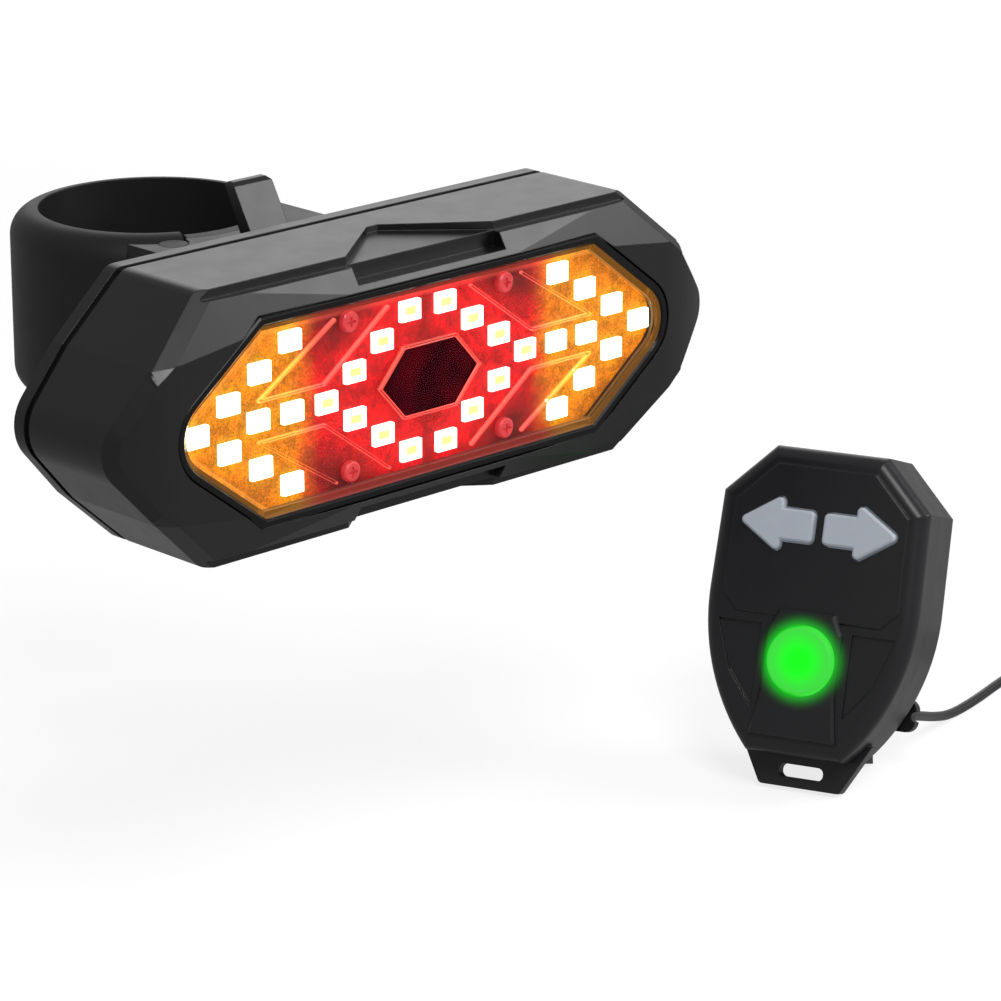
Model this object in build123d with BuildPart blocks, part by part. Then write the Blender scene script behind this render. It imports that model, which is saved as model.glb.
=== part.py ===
"""Bicycle turn signal light: seat post lamp and its wireless handlebar remote.

All lengths are millimetres. The origin is the axis of the seat post at the
height of the lamp's centre. The lamp faces -Y, +X is to its viewer's right and
+Z is up along the post. The remote stands beside the lamp on the same floor.
"""
import os
from math import ceil, cos, pi, radians, sin, sqrt, tan

from build123d import *

os.makedirs("parts", exist_ok=True)

# Fits shared by several pieces
running_gap = 0.3          # between a moving key or flap and its opening
seat_gap = 0.05            # around a screw, pin or insert in its hole
overrun = 2.0              # how far a cutting solid passes through a wall
facing_share = 0.5         # a face looks forward when its normal is past this

# Seat post and the rubber band that grips it
post_diameter = 31.6
grip_clearance = 0.1
bore_radius = post_diameter / 2 + grip_clearance
band_thickness = 4.0
band_height = 26.0
band_edge_round = 3.7
pad_thickness = 2.0
seat_radius = bore_radius + pad_thickness
band_radius = bore_radius + band_thickness

# Stations ahead of the post axis, from the bracket out to the lens
lamp_standoff = 14.1       # from the bore to the lamp's back
cover_depth = 9.2
seal_thickness = 0.8
shell_depth = 16.0
face_rise = 2.5
back_reach = bore_radius + lamp_standoff
cover_reach = back_reach + cover_depth
parting_reach = cover_reach + seal_thickness
ridge_reach = parting_reach + shell_depth
face_reach = ridge_reach + face_rise
tip_setback = 2.8
tip_reach = face_reach - tip_setback

# Lamp outline, seen from ahead
lamp_height = 37.0
lamp_width = 111.2
corner_spacing = 75.8
kink_inset = 8.4           # from the tip to the kink beside it
kink_height = 20.2
bow_round = 25.0           # eases the front into its two ends, seen from above
top_z = lamp_height / 2
tip_x = lamp_width / 2
corner_x = corner_spacing / 2
kink_x = tip_x - kink_inset
kink_z = kink_height / 2
tip_round = 6.0
corner_round = 2.6
ridge_band = 1.5
shell_wall = 2.0
parting_chamfer = 0.35

# Front of the shell: facets, ledges and the two scoops
facet_crease_span = 30.0
groove_drop = 1.3
groove_depth = 0.45
scoop_front_width = 26.5
scoop_back_width = 2.0
scoop_length = 9.4
scoop_lip = 2.1
scoop_step_height = 2.2
scoop_edge = 0.9

# Lens and its recess
lens_height = 25.8
lens_top_length = 59.6
lens_width = 93.2
lens_tip_round = 5.5
lens_thickness = 0.8
lens_setback = 0.3
gasket_width = 1.3
gasket_setback = 0.1
shelf_width = 0.8
shelf_thickness = 1.0
lens_top_z = lens_height / 2
lens_corner_x = lens_top_length / 2
lens_tip_x = lens_width / 2
lens_reach = face_reach - lens_setback
shelf_reach = lens_reach - lens_thickness
facet_foot_z = lens_top_z + 1.1 * gasket_width
rib_width = 0.35
rib_height = 0.6

# Light board and its lamps
board_thickness = 1.0
board_lap = 0.6
board_front = shelf_reach - shelf_thickness
board_back = board_front - board_thickness
led_length = 3.5
led_width = 2.8
led_height = 0.7
ring_half_width = 18.0
ring_half_height = 9.6
ring_corner_x = 3.2
arrow_tip_margin = 6.7     # from the arrow's tip lamp to the lens tip
arrow_tip_x = lens_tip_x - arrow_tip_margin
shaft_shares = (0.2694, 0.5342)    # of the way from the ring's end to the tip lamp
arrow_step_x = 5.26
arrow_step_z = 3.2
window_half_width = 9.2
window_corner_x = 4.75
window_corner_z = 5.0
window_thickness = 0.7
guide_margin = 1.0
guide_corner_x = 18.8
guide_shaft_z = 2.75
guide_notch_x = 30.0
guide_foot_x = 16.8
guide_ring_foot_x = 7.4

# Carrier, battery and control board
board_post_height = 1.2
pocket_reach = board_back - board_post_height
carrier_thickness = 1.5
carrier_back = pocket_reach - carrier_thickness
carrier_thread = 2.6
post_radius = 1.9
board_screw_x = 14.0
board_screw_z = 10.2
board_screw_length = 2.8
carrier_screw_x = 41.2
carrier_screw_z = 8.8
battery_length = 50.0
battery_height = 25.0
battery_thickness = 7.5
pad_foam = 0.8
pad_share = 0.8
cradle_wall = 1.2
cradle_height = 4.0
control_length = 62.0
control_height = 19.0
control_setback = 1.2
control_front = cover_reach - control_setback
control_back = control_front - board_thickness
boss_x = 36.0
boss_z = 13.0
boss_radius = 2.4
cover_boss_radius = 3.1
screw_radius = 1.0
screw_head_radius = 1.9
screw_head_height = 1.4
screw_length = 9.0
small_screw_radius = 0.8
small_head_radius = 1.4
small_head_height = 0.9
head_gap = 0.15
radio_length = 14.0
radio_height = 10.0
radio_depth = 1.6
radio_x = 18.0
control_post_x = 27.0
control_post_z = 6.5
control_screw_length = 4.0

# Rear cover
cover_rim = 2.0
seal_inset = 0.4
seal_width = 1.3
back_corner_x = 29.0
back_top_z = 11.5
back_kink_x = 36.0
back_kink_z = 6.4
back_tip_x = 41.0
cover_wall = 2.0
side_opening_x = 24.0
usb_width = 9.0
usb_height = 3.2
usb_setback = 0.9
flap_length = 13.0
flap_height = 7.4
flap_thickness = 1.3
flap_plug_depth = 0.6
flap_pin_radius = 0.6
flap_knuckle_radius = 1.1
flap_knuckle_height = 5.2
flap_lug_thickness = 1.4
flap_pin_play = 0.05
power_cap_radius = 4.0
power_travel = 0.6
power_cap_rise = 0.7
power_flange_lap = 0.9
power_flange_thickness = 0.8
power_stem_radius = 1.3
power_switch_size = 6.0
power_switch_depth = 2.1
power_switch_gap = 0.2

# Slide rail, bracket and release lever
rail_stem_width = 10.0
rail_stem_depth = 2.0
rail_head_width = 16.0
rail_head_depth = 1.6
rail_height = 20.0
rail_screw_z = 5.0
rail_screw_length = 5.3
rail_boss_radius = 2.2
rail_boss_depth = 3.0
slot_gap = 0.3
bracket_half_width = 15.2
bracket_height = 25.0
bracket_gap = 0.4
bracket_tail_reach = 9.5
bracket_corner_round = 2.0
bracket_half_turn = 120.0
lever_width = 6.8
lever_thickness = 2.2
lever_rise = 20.5
lever_tail = 2.2
lever_bend_z = 13.5
lever_swing = 8.0         # degrees
lever_pin_play = 0.05
lever_pin_half_length = 8.0
lever_pivot_z = 4.0
lever_pin_radius = 0.75
lever_lean = 4.0
nose_height = 1.8
nose_grip = 0.7
lever_stand = 0.6          # from the back of the rail to the lever
spring_thickness = 0.4
spring_foot_z = 2.2
spring_bend_z = 6.0
spring_tip_z = 10.6
hook_radius = 2.4
hook_head_radius = 3.4
hook_head_height = 1.2
hook_reach = 16.5
hook_gap = 0.1
tail_thickness = 3.0
tail_length = 21.0
tail_height = 19.0
tail_root_height = 24.0
tail_taper = 6.0
tail_rib_width = 1.2
tail_rib_pitch = 2.0
tail_rib_start = 3.4
tail_end_round = 3.0
strap_gap = 0.7            # from the bracket to the tail beside it
bead_radius = 2.0
bead_turn = -31.0          # degrees from the lamp, towards +X
strap_end_turn = -25.5
strap_play_turn = 1.0
strap_start_turn = -270.0
pad_left_turn = -23.5
pad_right_turn = 50.0
bead_proud = 0.4
tail_rib_count = 5
tail_rib_height = 0.6

# Remote: place and stance on the floor
remote_x = 77.0
remote_y = -57.0
remote_turn = -67.0
remote_lean = 20.0
floor_drop = 80.0

# Remote body, seen from its front
remote_top_width = 17.4
remote_shoulder_width = 32.2
remote_width = 32.8
remote_foot_width = 15.0
remote_height = 45.6
shoulder_drop = 7.5
waist_drop = 22.0
front_depth = 6.5
rear_depth = 10.0
remote_wall = 1.6
remote_front_edge = 2.2
remote_back_edge = 3.0
remote_boss_radius = 1.9
upper_boss_x = 10.6
upper_boss_drop = 6.4
lower_boss_x = 12.2
lower_boss_drop = 27.3
remote_thread = 3.5
groove_inset = 0.5
groove_width = 0.6
seal_depth = 0.6
remote_half = remote_height / 2
remote_depth = front_depth + rear_depth

# Remote face relief, its heights counted from the round key
panel_height = 0.35
panel_margin = 2.6
panel_foot_rise = 6.1
spine_height = 0.7
spine_top_width = 8.6
spine_width = 11.6
spine_foot_width = 13.6
spine_top_rise = 7.4
spine_bevel = 0.4
panel_bevel = 0.2
recess_foot_drop = 2.6
relief_depth = 0.5
panel_slope_share = 0.41    # how far the margin moves the corners of the panel

# Remote keys
arrow_drop = 11.6
arrow_z = remote_half - arrow_drop
arrow_round = 0.7
arrow_gap = 1.6
arrow_length = 11.7
arrow_head_length = 6.8
arrow_head_height = 8.9
arrow_shaft_height = 4.7
round_key_rise = 14.2
round_key_z = round_key_rise - remote_half
round_key_radius = 5.0
key_rise = 0.9
key_travel = 0.4
key_flange = 0.9
key_flange_lap = 0.7
key_stem_radius = 1.3
switch_gap = 0.1

# Remote insides
remote_board_front = 5.4
remote_board_thickness = 1.0
switch_size = 3.6
switch_height = 0.7
cell_radius = 10.0
cell_thickness = 3.2
cell_drop = 16.6
cell_z = remote_half - cell_drop
holder_wall = 1.3
holder_floor = 0.9
cell_spring_height = 0.7
door_radius = 11.3
door_thickness = 1.6
door_turn = 30.0           # degrees to unlock
lug_reach = 1.3
lug_width = 3.0
lug_thickness = 0.4
tab_top_width = 21.0
tab_foot_width = 12.6
tab_drop = 4.9
tab_root_rise = 2.8
tab_thickness = 2.4
slot_width = 7.0
slot_height = 2.0

# Handlebar saddle and elastic cord
bar_diameter = 31.8
saddle_height = 16.2
saddle_width = 13.0
saddle_floor = 3.0
ear_reach = 7.1
ear_thickness = 2.0
ear_height = 5.0
ear_back = 18.8            # behind the face of the remote
saddle_screw_x = 4.2
saddle_screw_grip = 2.2
cord_diameter = 1.5
toggle_radius = 1.35
toggle_length = 5.0


def ahead(reach):
    """Plane facing forward, this far ahead of the post axis."""
    return Plane.XZ.offset(reach)


def whole_loop(quarter, tip):
    """Closed outline from the corners of its upper right quarter and its right tip."""
    right = quarter + [(tip, 0)] + [(x, -z) for x, z in reversed(quarter)]
    return right + [(-x, z) for x, z in reversed(right)]


def outline(plane, points, rounding, corner_rounding=0, inset=0):
    """Face with these corners on a plane, its two tips and its corners rounded."""
    with BuildSketch(plane) as sketch:
        with BuildLine():
            Polyline(*points, close=True)
        make_face()
        if inset:
            offset(amount=-inset, kind=Kind.INTERSECTION)
        ranks = sketch.vertices().group_by(Axis.X)
        fillet(ranks[0] + ranks[-1], rounding)
        if corner_rounding:
            levels = sketch.vertices().group_by(Axis.Y)
            fillet(levels[0] + levels[-1], corner_rounding)
    return sketch.sketch


def plane_through(first, second, third):
    """Plane through three points, its normal on the side that faces forward."""
    start, one, two = Vector(*first), Vector(*second), Vector(*third)
    normal = (one - start).cross(two - start)
    if normal.Y > 0:
        normal = -normal
    return Plane(origin=start, x_dir=one - start, z_dir=normal)


lamp_points = whole_loop([(corner_x, top_z), (kink_x, kink_z)], tip_x)
lens_points = whole_loop([(lens_corner_x, lens_top_z)], lens_tip_x)
back_points = whole_loop([(back_corner_x, back_top_z), (back_kink_x, back_kink_z)], back_tip_x)


def lamp_outline(plane, inset=0):
    return outline(plane, lamp_points, tip_round - inset, corner_round, inset)


def lens_outline(plane, grow=0):
    return outline(plane, lens_points, lens_tip_round + grow, 0, -grow)


nodes = {}

# Front housing: tray, facets, edge band, lens recess, ledges and scoops
corners = [(sx, sz) for sx in (-1, 1) for sz in (-1, 1)]
boss_places = [(sx * boss_x, sz * boss_z) for sx, sz in corners]
carrier_screw_places = [(sx * carrier_screw_x, sz * carrier_screw_z) for sx, sz in corners]
board_screw_places = [(sx * board_screw_x, sz * board_screw_z) for sx, sz in corners]
groove_floor = ridge_reach - groove_depth
scoop_floor_z = top_z - groove_drop - scoop_lip
scoop_step_z = scoop_floor_z + scoop_step_height
screw_seat = cover_reach - cover_rim
tray_depth = pocket_reach - parting_reach
thread_depth = screw_length - (parting_reach - screw_seat)

with BuildPart() as tray_hollow:
    extrude(lamp_outline(ahead(parting_reach - overrun), shell_wall), amount=tray_depth + overrun)
    with BuildSketch(ahead(parting_reach - overrun)):
        with Locations(*boss_places):
            Circle(boss_radius)
    extrude(amount=tray_depth + overrun, mode=Mode.SUBTRACT)

with BuildPart() as front_housing:
    extrude(lamp_outline(ahead(parting_reach)), amount=face_reach - parting_reach)
    for side in (-1, 1):
        upper_kink = (side * kink_x, -face_reach, kink_z)
        lower_kink = (side * kink_x, -face_reach, -kink_z)
        end_facet = plane_through(upper_kink, lower_kink, (side * tip_x, -tip_reach, 0))
        split(bisect_by=end_facet, keep=Keep.BOTTOM)
    fronts = [face for face in front_housing.faces() if face.normal_at().Y < -facing_share]
    walls = [face for face in front_housing.faces() if abs(face.normal_at().Y) < facing_share]
    wall_edges = [edge for face in walls for edge in face.edges()]
    rim = [edge for face in fronts for edge in face.edges() if any(edge.is_same(w) for w in wall_edges)]
    chamfer([edge for edge in rim if abs(edge.center().Z) < top_z - corner_round], ridge_band)
    for side, level in corners:
        corner = Vector(side * corner_x, -ridge_reach, level * top_z)
        kink = Vector(side * kink_x, -face_reach, level * kink_z)
        foot = Vector(side * facet_crease_span / 2, -face_reach, level * facet_foot_z)
        facet = plane_through(corner, foot, kink)
        split(bisect_by=facet, keep=Keep.BOTTOM)
        along = Vector(kink.X - corner.X, 0, kink.Z - corner.Z).normalized()
        inward = Vector(-side * abs(along.Z), 0, -level * abs(along.X)) * ridge_band
        rise = Vector(0, (facet.z_dir.X * inward.X + facet.z_dir.Z * inward.Z) / facet.z_dir.Y, 0)
        back = Vector(0, ridge_band, 0)
        split(bisect_by=plane_through(corner + back, kink + back, corner + inward - rise), keep=Keep.BOTTOM)
    for level in (-1, 1):
        ridge_ends = [(side * corner_x, -ridge_reach, level * top_z) for side in (-1, 1)]
        split(
            bisect_by=plane_through(*ridge_ends, (0, -face_reach, level * facet_foot_z)),
            keep=Keep.BOTTOM,
        )
    chamfer(front_housing.faces().sort_by(Axis.Y)[-1].outer_wire().edges(), parting_chamfer)
    with BuildSketch(Plane.XY.offset(-top_z - overrun)) as plan:
        with BuildLine():
            front = [(kink_x, -face_reach), (tip_x, -tip_reach), (tip_x, overrun - parting_reach)]
            Polyline(*front, *[(-x, y) for x, y in reversed(front)], close=True)
        make_face()
        fillet(plan.vertices().sort_by(Axis.Y)[:2], bow_round)
    extrude(amount=lamp_height + 2 * overrun, mode=Mode.INTERSECT)
    add(tray_hollow.part, mode=Mode.SUBTRACT)
    board_pocket = lens_outline(ahead(pocket_reach - overrun), board_lap + seat_gap)
    extrude(board_pocket, amount=board_front - pocket_reach + overrun, mode=Mode.SUBTRACT)
    shelf_opening = lens_outline(ahead(board_front - overrun), -shelf_width)
    extrude(shelf_opening, amount=face_reach - board_front + 2 * overrun, mode=Mode.SUBTRACT)
    lens_recess = lens_outline(ahead(shelf_reach), gasket_width)
    extrude(lens_recess, amount=face_reach - shelf_reach + overrun, mode=Mode.SUBTRACT)
    with BuildSketch(ahead(pocket_reach - overrun)):
        with Locations(*carrier_screw_places):
            Circle(screw_radius)
    extrude(amount=overrun + carrier_thread, mode=Mode.SUBTRACT)
    with BuildSketch(ahead(parting_reach - overrun)):
        with Locations(*boss_places):
            Circle(screw_radius)
    extrude(amount=overrun + thread_depth, mode=Mode.SUBTRACT)
    for level in (-1, 1):
        ledge_z = level * (top_z - groove_drop / 2 + overrun / 2)
        with Locations((0, -groove_floor - overrun / 2, ledge_z)):
            Box(2 * corner_x, overrun, groove_drop + overrun, mode=Mode.SUBTRACT)
        mouth_z = level * (scoop_floor_z + (top_z + overrun - scoop_floor_z) / 2)
        mouth_reach = face_reach + overrun - groove_floor
        with Locations((0, -groove_floor - mouth_reach / 2, mouth_z)):
            Box(scoop_front_width, mouth_reach, top_z + overrun - scoop_floor_z, mode=Mode.SUBTRACT)
        scoop_ends = (
            (groove_floor, scoop_front_width, scoop_step_z),
            (groove_floor - scoop_length, scoop_back_width, top_z - scoop_edge),
        )
        for reach, width, low in scoop_ends:
            with BuildSketch(ahead(reach)):
                with Locations((0, level * (low + top_z + overrun) / 2)):
                    Rectangle(width, top_z + overrun - low)
        loft(ruled=True, mode=Mode.SUBTRACT)
nodes["front_housing"] = front_housing

# Lens, with the light guide ribs moulded on its back
guide_foot_z = lens_top_z - shelf_width - guide_margin
guide_lines = [
    [(guide_ring_foot_x, guide_foot_z), (guide_corner_x, guide_shaft_z)],
    [(guide_corner_x, guide_shaft_z), (guide_notch_x, guide_shaft_z)],
    [(guide_notch_x, guide_shaft_z), (guide_foot_x, guide_foot_z)],
]
window_points = whole_loop([(window_corner_x, window_corner_z)], window_half_width)


def window_outline(plane, inset):
    with BuildSketch(plane) as sketch:
        with BuildLine():
            Polyline(*window_points, close=True)
        make_face()
        offset(amount=-inset, kind=Kind.INTERSECTION)
    return sketch.sketch


with BuildPart() as lens:
    extrude(lens_outline(ahead(shelf_reach), -seat_gap), amount=lens_thickness)
    with BuildSketch(ahead(shelf_reach - rib_height)):
        for sx, sz in corners:
            for start, end in guide_lines:
                with BuildLine():
                    Line((sx * start[0], sz * start[1]), (sx * end[0], sz * end[1]))
                trace(line_width=rib_width)
        with BuildLine():
            Polyline(*window_points, close=True)
        make_face()
    extrude(amount=rib_height)
    frame_opening = window_outline(ahead(shelf_reach - rib_height), rib_width)
    extrude(frame_opening, amount=rib_height, mode=Mode.SUBTRACT)
nodes["lens"] = lens

with BuildPart() as lens_gasket:
    gasket_depth = face_reach - gasket_setback - shelf_reach
    extrude(lens_outline(ahead(shelf_reach), gasket_width - seat_gap), amount=gasket_depth)
    extrude(lens_outline(ahead(shelf_reach), 0), amount=gasket_depth, mode=Mode.SUBTRACT)
    front_rim = lens_gasket.faces().sort_by(Axis.Y)[0].edges()
    chamfer(front_rim, gasket_width / 5)
nodes["lens_gasket"] = lens_gasket

with BuildPart() as centre_window:
    extrude(window_outline(ahead(board_front), rib_width + seat_gap), amount=window_thickness)
nodes["centre_window"] = centre_window

# Light board, its lamps and screws
with BuildPart() as led_board:
    extrude(lens_outline(ahead(board_back), board_lap), amount=board_thickness)
    with BuildSketch(ahead(board_back)):
        with Locations(*board_screw_places):
            Circle(small_screw_radius + seat_gap)
    extrude(amount=board_thickness, mode=Mode.SUBTRACT)
nodes["led_board"] = led_board

ring_places = [(sx * ring_half_width, 0) for sx in (-1, 1)]
for sx, sz in corners:
    for step in range(3):
        share = step / 3
        ring_x = ring_corner_x + (ring_half_width - ring_corner_x) * share
        ring_places.append((sx * ring_x, sz * ring_half_height * (1 - share)))

arrow_run = arrow_tip_x - ring_half_width
arrow_places = [(ring_half_width + arrow_run * share, 0) for share in (*shaft_shares, 1)]
for step in range(1, 4):
    for sz in (-1, 1):
        arrow_places.append((arrow_tip_x - step * arrow_step_x, sz * step * arrow_step_z))


def led_group(places):
    with BuildPart() as group:
        with BuildSketch(ahead(board_front)):
            with Locations(*places):
                Rectangle(led_length, led_width)
        extrude(amount=led_height)
        chamfer(group.faces().filter_by(Axis.Y).group_by(Axis.Y)[0].edges(), led_height / 8)
    return group


nodes["red_leds"] = led_group(ring_places)
nodes["amber_leds_right"] = led_group(arrow_places)
nodes["amber_leds_left"] = led_group([(-x, z) for x, z in arrow_places])


def screw_group(plane, places, length, shank, head, head_height):
    """Pan head screws seated on a plane: heads on its front, shanks behind it."""
    with BuildPart() as group:
        with BuildSketch(plane):
            with Locations(*places):
                Circle(head)
        extrude(amount=head_height)
        fronts = group.faces().sort_by(Axis(plane.origin, plane.z_dir))[-len(places):]
        chamfer(fronts.edges(), head_height / 4)
        with BuildSketch(plane):
            with Locations(*places):
                Circle(shank)
        extrude(amount=-length)
        with BuildSketch(plane.offset(head_height / 2)):
            with Locations(*places):
                Rectangle(head, head / 4)
                Rectangle(head / 4, head)
        extrude(amount=head_height, mode=Mode.SUBTRACT)
    return group


def behind_facing(reach):
    """Plane that faces the post, this far ahead of its axis, with Z up."""
    return Plane(origin=(0, -reach, 0), x_dir=(-1, 0, 0), z_dir=(0, 1, 0))


small_screw = (small_screw_radius, small_head_radius, small_head_height)
machine_screw = (screw_radius, screw_head_radius, screw_head_height)
nodes["board_screws"] = screw_group(
    ahead(board_front), board_screw_places, board_screw_length, *small_screw
)

# Carrier that holds the board, the battery and its foam pad
with BuildPart() as board_carrier:
    extrude(lamp_outline(ahead(carrier_back), shell_wall + running_gap), amount=carrier_thickness)
    with BuildSketch(ahead(carrier_back)):
        with Locations(*boss_places):
            Circle(boss_radius + running_gap)
        for x, z in boss_places:
            with Locations((x, z + (boss_radius if z > 0 else -boss_radius))):
                Rectangle(2 * (boss_radius + running_gap), 2 * boss_radius)
    extrude(amount=carrier_thickness, mode=Mode.SUBTRACT)
    with BuildSketch(ahead(pocket_reach)):
        with Locations(*board_screw_places):
            Circle(post_radius)
    extrude(amount=board_back - pocket_reach)
    with BuildSketch(ahead(carrier_back - cradle_height)):
        inner_length, inner_height = battery_length + 2 * seat_gap, battery_height + 2 * seat_gap
        Rectangle(inner_length + 2 * cradle_wall, inner_height + 2 * cradle_wall)
        Rectangle(inner_length, inner_height, mode=Mode.SUBTRACT)
    extrude(amount=cradle_height)
    with BuildSketch(ahead(carrier_back)):
        with Locations(*board_screw_places):
            Circle(small_screw_radius)
    extrude(amount=board_back - carrier_back, mode=Mode.SUBTRACT)
    with BuildSketch(ahead(carrier_back)):
        with Locations(*carrier_screw_places):
            Circle(screw_radius + seat_gap)
    extrude(amount=carrier_thickness, mode=Mode.SUBTRACT)
nodes["board_carrier"] = board_carrier
carrier_screw_length = carrier_thickness + carrier_thread - seat_gap
nodes["carrier_screws"] = screw_group(
    behind_facing(carrier_back), carrier_screw_places, carrier_screw_length, *machine_screw
)

battery_front = carrier_back - pad_foam
battery_back = battery_front - battery_thickness
with BuildPart() as battery_pad:
    with BuildSketch(ahead(battery_front)):
        Rectangle(battery_length * pad_share, battery_height * pad_share)
    extrude(amount=pad_foam)
nodes["battery_pad"] = battery_pad

with BuildPart() as battery:
    with BuildSketch(ahead(battery_back)):
        Rectangle(battery_length, battery_height)
    extrude(amount=battery_thickness)
    fillet(battery.edges().filter_by(Axis.X), battery_thickness / 4)
nodes["battery"] = battery

# Rear cover: straight rim, then walls that slope to a smaller back
def cover_loft(inset, back, shift):
    """Sloping solid from the rim's foot to the back, both inset alike."""
    front = lamp_outline(ahead(screw_seat), inset)
    rear = outline(ahead(back + shift), back_points, tip_round - inset, corner_round, inset)
    return loft([front, rear], ruled=True, mode=Mode.ADD)


control_posts = [(sx * control_post_x, sz * control_post_z) for sx, sz in corners]
rail_screw_places = [(0, -rail_screw_z), (0, rail_screw_z)]
cover_floor = back_reach + cover_wall

with BuildPart() as cover_hollow:
    extrude(lamp_outline(ahead(screw_seat), cover_wall), amount=cover_rim + seal_thickness)
    cover_loft(cover_wall, back_reach, cover_wall)
    with BuildSketch(ahead(back_reach)):
        with Locations(*boss_places):
            Circle(cover_boss_radius)
    extrude(amount=parting_reach - back_reach, mode=Mode.SUBTRACT)
    with BuildSketch(ahead(back_reach)):
        with Locations(*control_posts):
            Circle(post_radius)
    extrude(amount=control_back - back_reach, mode=Mode.SUBTRACT)
    with BuildSketch(ahead(back_reach)):
        with Locations(*rail_screw_places):
            Circle(rail_boss_radius)
    extrude(amount=cover_wall + rail_boss_depth, mode=Mode.SUBTRACT)

flap_back = back_reach - running_gap
flap_front = flap_back - flap_thickness
flap_pin_x = -side_opening_x - flap_length / 2 + flap_knuckle_radius
flap_pin_reach = flap_back - flap_knuckle_radius
lug_z = flap_knuckle_height / 2 + running_gap

with BuildPart() as rear_cover:
    extrude(lamp_outline(ahead(screw_seat)), amount=cover_rim)
    cover_loft(0, back_reach, 0)
    add(cover_hollow.part, mode=Mode.SUBTRACT)
    with BuildSketch(ahead(cover_reach)):
        with Locations(*boss_places):
            Circle(cover_boss_radius)
    extrude(amount=seal_thickness)
    for level in (-1, 1):
        with BuildSketch(Plane.XY.offset(level * lug_z)):
            with Locations((flap_pin_x, -flap_pin_reach)):
                Circle(flap_knuckle_radius)
            with Locations((flap_pin_x, -(flap_pin_reach + back_reach + cover_wall / 2) / 2)):
                Rectangle(2 * flap_knuckle_radius, back_reach + cover_wall / 2 - flap_pin_reach)
        extrude(amount=level * flap_lug_thickness)
    with BuildSketch(ahead(back_reach - overrun)):
        with Locations(*boss_places):
            Circle(screw_head_radius + head_gap)
    extrude(amount=screw_seat - back_reach + overrun, mode=Mode.SUBTRACT)
    with BuildSketch(ahead(screw_seat)):
        with Locations(*boss_places):
            Circle(screw_radius + head_gap)
    extrude(amount=parting_reach - screw_seat, mode=Mode.SUBTRACT)
    with BuildSketch(ahead(control_back)):
        with Locations(*control_posts):
            Circle(small_screw_radius)
    extrude(amount=-control_screw_length, mode=Mode.SUBTRACT)
    with BuildSketch(ahead(back_reach)):
        with Locations(*rail_screw_places):
            Circle(screw_radius)
    extrude(amount=cover_wall + rail_boss_depth, mode=Mode.SUBTRACT)
    with BuildSketch(ahead(back_reach - overrun)):
        with Locations((-side_opening_x, 0)):
            RectangleRounded(usb_width + 2 * seat_gap, usb_height + 2 * seat_gap, usb_height / 3)
        with Locations((side_opening_x, 0)):
            Circle(power_cap_radius + running_gap)
    extrude(amount=cover_wall + 2 * overrun, mode=Mode.SUBTRACT)
    with Locations((flap_pin_x, -flap_pin_reach, 0)):
        Cylinder(flap_pin_radius, 2 * (lug_z + flap_lug_thickness), mode=Mode.SUBTRACT)
nodes["rear_cover"] = rear_cover
nodes["cover_screws"] = screw_group(
    behind_facing(screw_seat), boss_places, screw_length - seat_gap, *machine_screw
)

with BuildPart() as cover_seal:
    extrude(lamp_outline(ahead(cover_reach), seal_inset), amount=seal_thickness)
    seal_opening = lamp_outline(ahead(cover_reach), seal_inset + seal_width)
    extrude(seal_opening, amount=seal_thickness, mode=Mode.SUBTRACT)
nodes["cover_seal"] = cover_seal

# Control board with its radio, charging socket and power switch
with BuildPart() as control_board:
    with BuildSketch(ahead(control_back)):
        RectangleRounded(control_length, control_height, screw_radius)
        with Locations(*control_posts):
            Circle(small_screw_radius + seat_gap, mode=Mode.SUBTRACT)
    extrude(amount=board_thickness)
nodes["control_board"] = control_board
nodes["control_screws"] = screw_group(
    ahead(control_front), control_posts, control_screw_length - seat_gap, *small_screw
)

with BuildPart() as radio_module:
    with BuildSketch(ahead(control_front)):
        with Locations((radio_x, 0)):
            Rectangle(radio_length, radio_height)
    extrude(amount=radio_depth)
    chamfer(radio_module.faces().sort_by(Axis.Y)[0].edges(), radio_depth / 5)
nodes["radio_module"] = radio_module

with BuildPart() as usb_socket:
    with BuildSketch(ahead(back_reach + usb_setback)):
        with Locations((-side_opening_x, 0)):
            RectangleRounded(usb_width, usb_height, usb_height / 3)
    extrude(amount=control_back - back_reach - usb_setback)
    with BuildSketch(ahead(back_reach + usb_setback)):
        with Locations((-side_opening_x, 0)):
            RectangleRounded(usb_width - usb_height / 4, usb_height * 3 / 4, usb_height / 4)
            Rectangle(usb_width * 3 / 4, usb_height / 5, mode=Mode.SUBTRACT)
    extrude(amount=usb_width / 2, mode=Mode.SUBTRACT)
nodes["usb_socket"] = usb_socket

with BuildPart() as power_switch:
    with BuildSketch(ahead(control_back)):
        with Locations((side_opening_x, 0)):
            Rectangle(power_switch_size, power_switch_size)
    extrude(amount=-power_switch_depth)
    chamfer(power_switch.edges().filter_by(Axis.Y), power_switch_size / 12)
nodes["power_switch"] = power_switch

power_flange_back = cover_floor + running_gap
stem_front = control_back - power_switch_depth - power_switch_gap - power_travel
with BuildPart() as power_button:
    with BuildSketch(ahead(back_reach - power_cap_rise)):
        with Locations((side_opening_x, 0)):
            Circle(power_cap_radius)
    extrude(amount=power_flange_back - back_reach + power_cap_rise)
    chamfer(power_button.faces().sort_by(Axis.Y)[-1].edges(), power_cap_rise / 2)
    with BuildSketch(ahead(power_flange_back)):
        with Locations((side_opening_x, 0)):
            Circle(power_cap_radius + power_flange_lap)
    extrude(amount=power_flange_thickness)
    with BuildSketch(ahead(power_flange_back)):
        with Locations((side_opening_x, 0)):
            Circle(power_stem_radius)
    extrude(amount=stem_front - power_flange_back)
nodes["power_button"] = power_button

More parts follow.
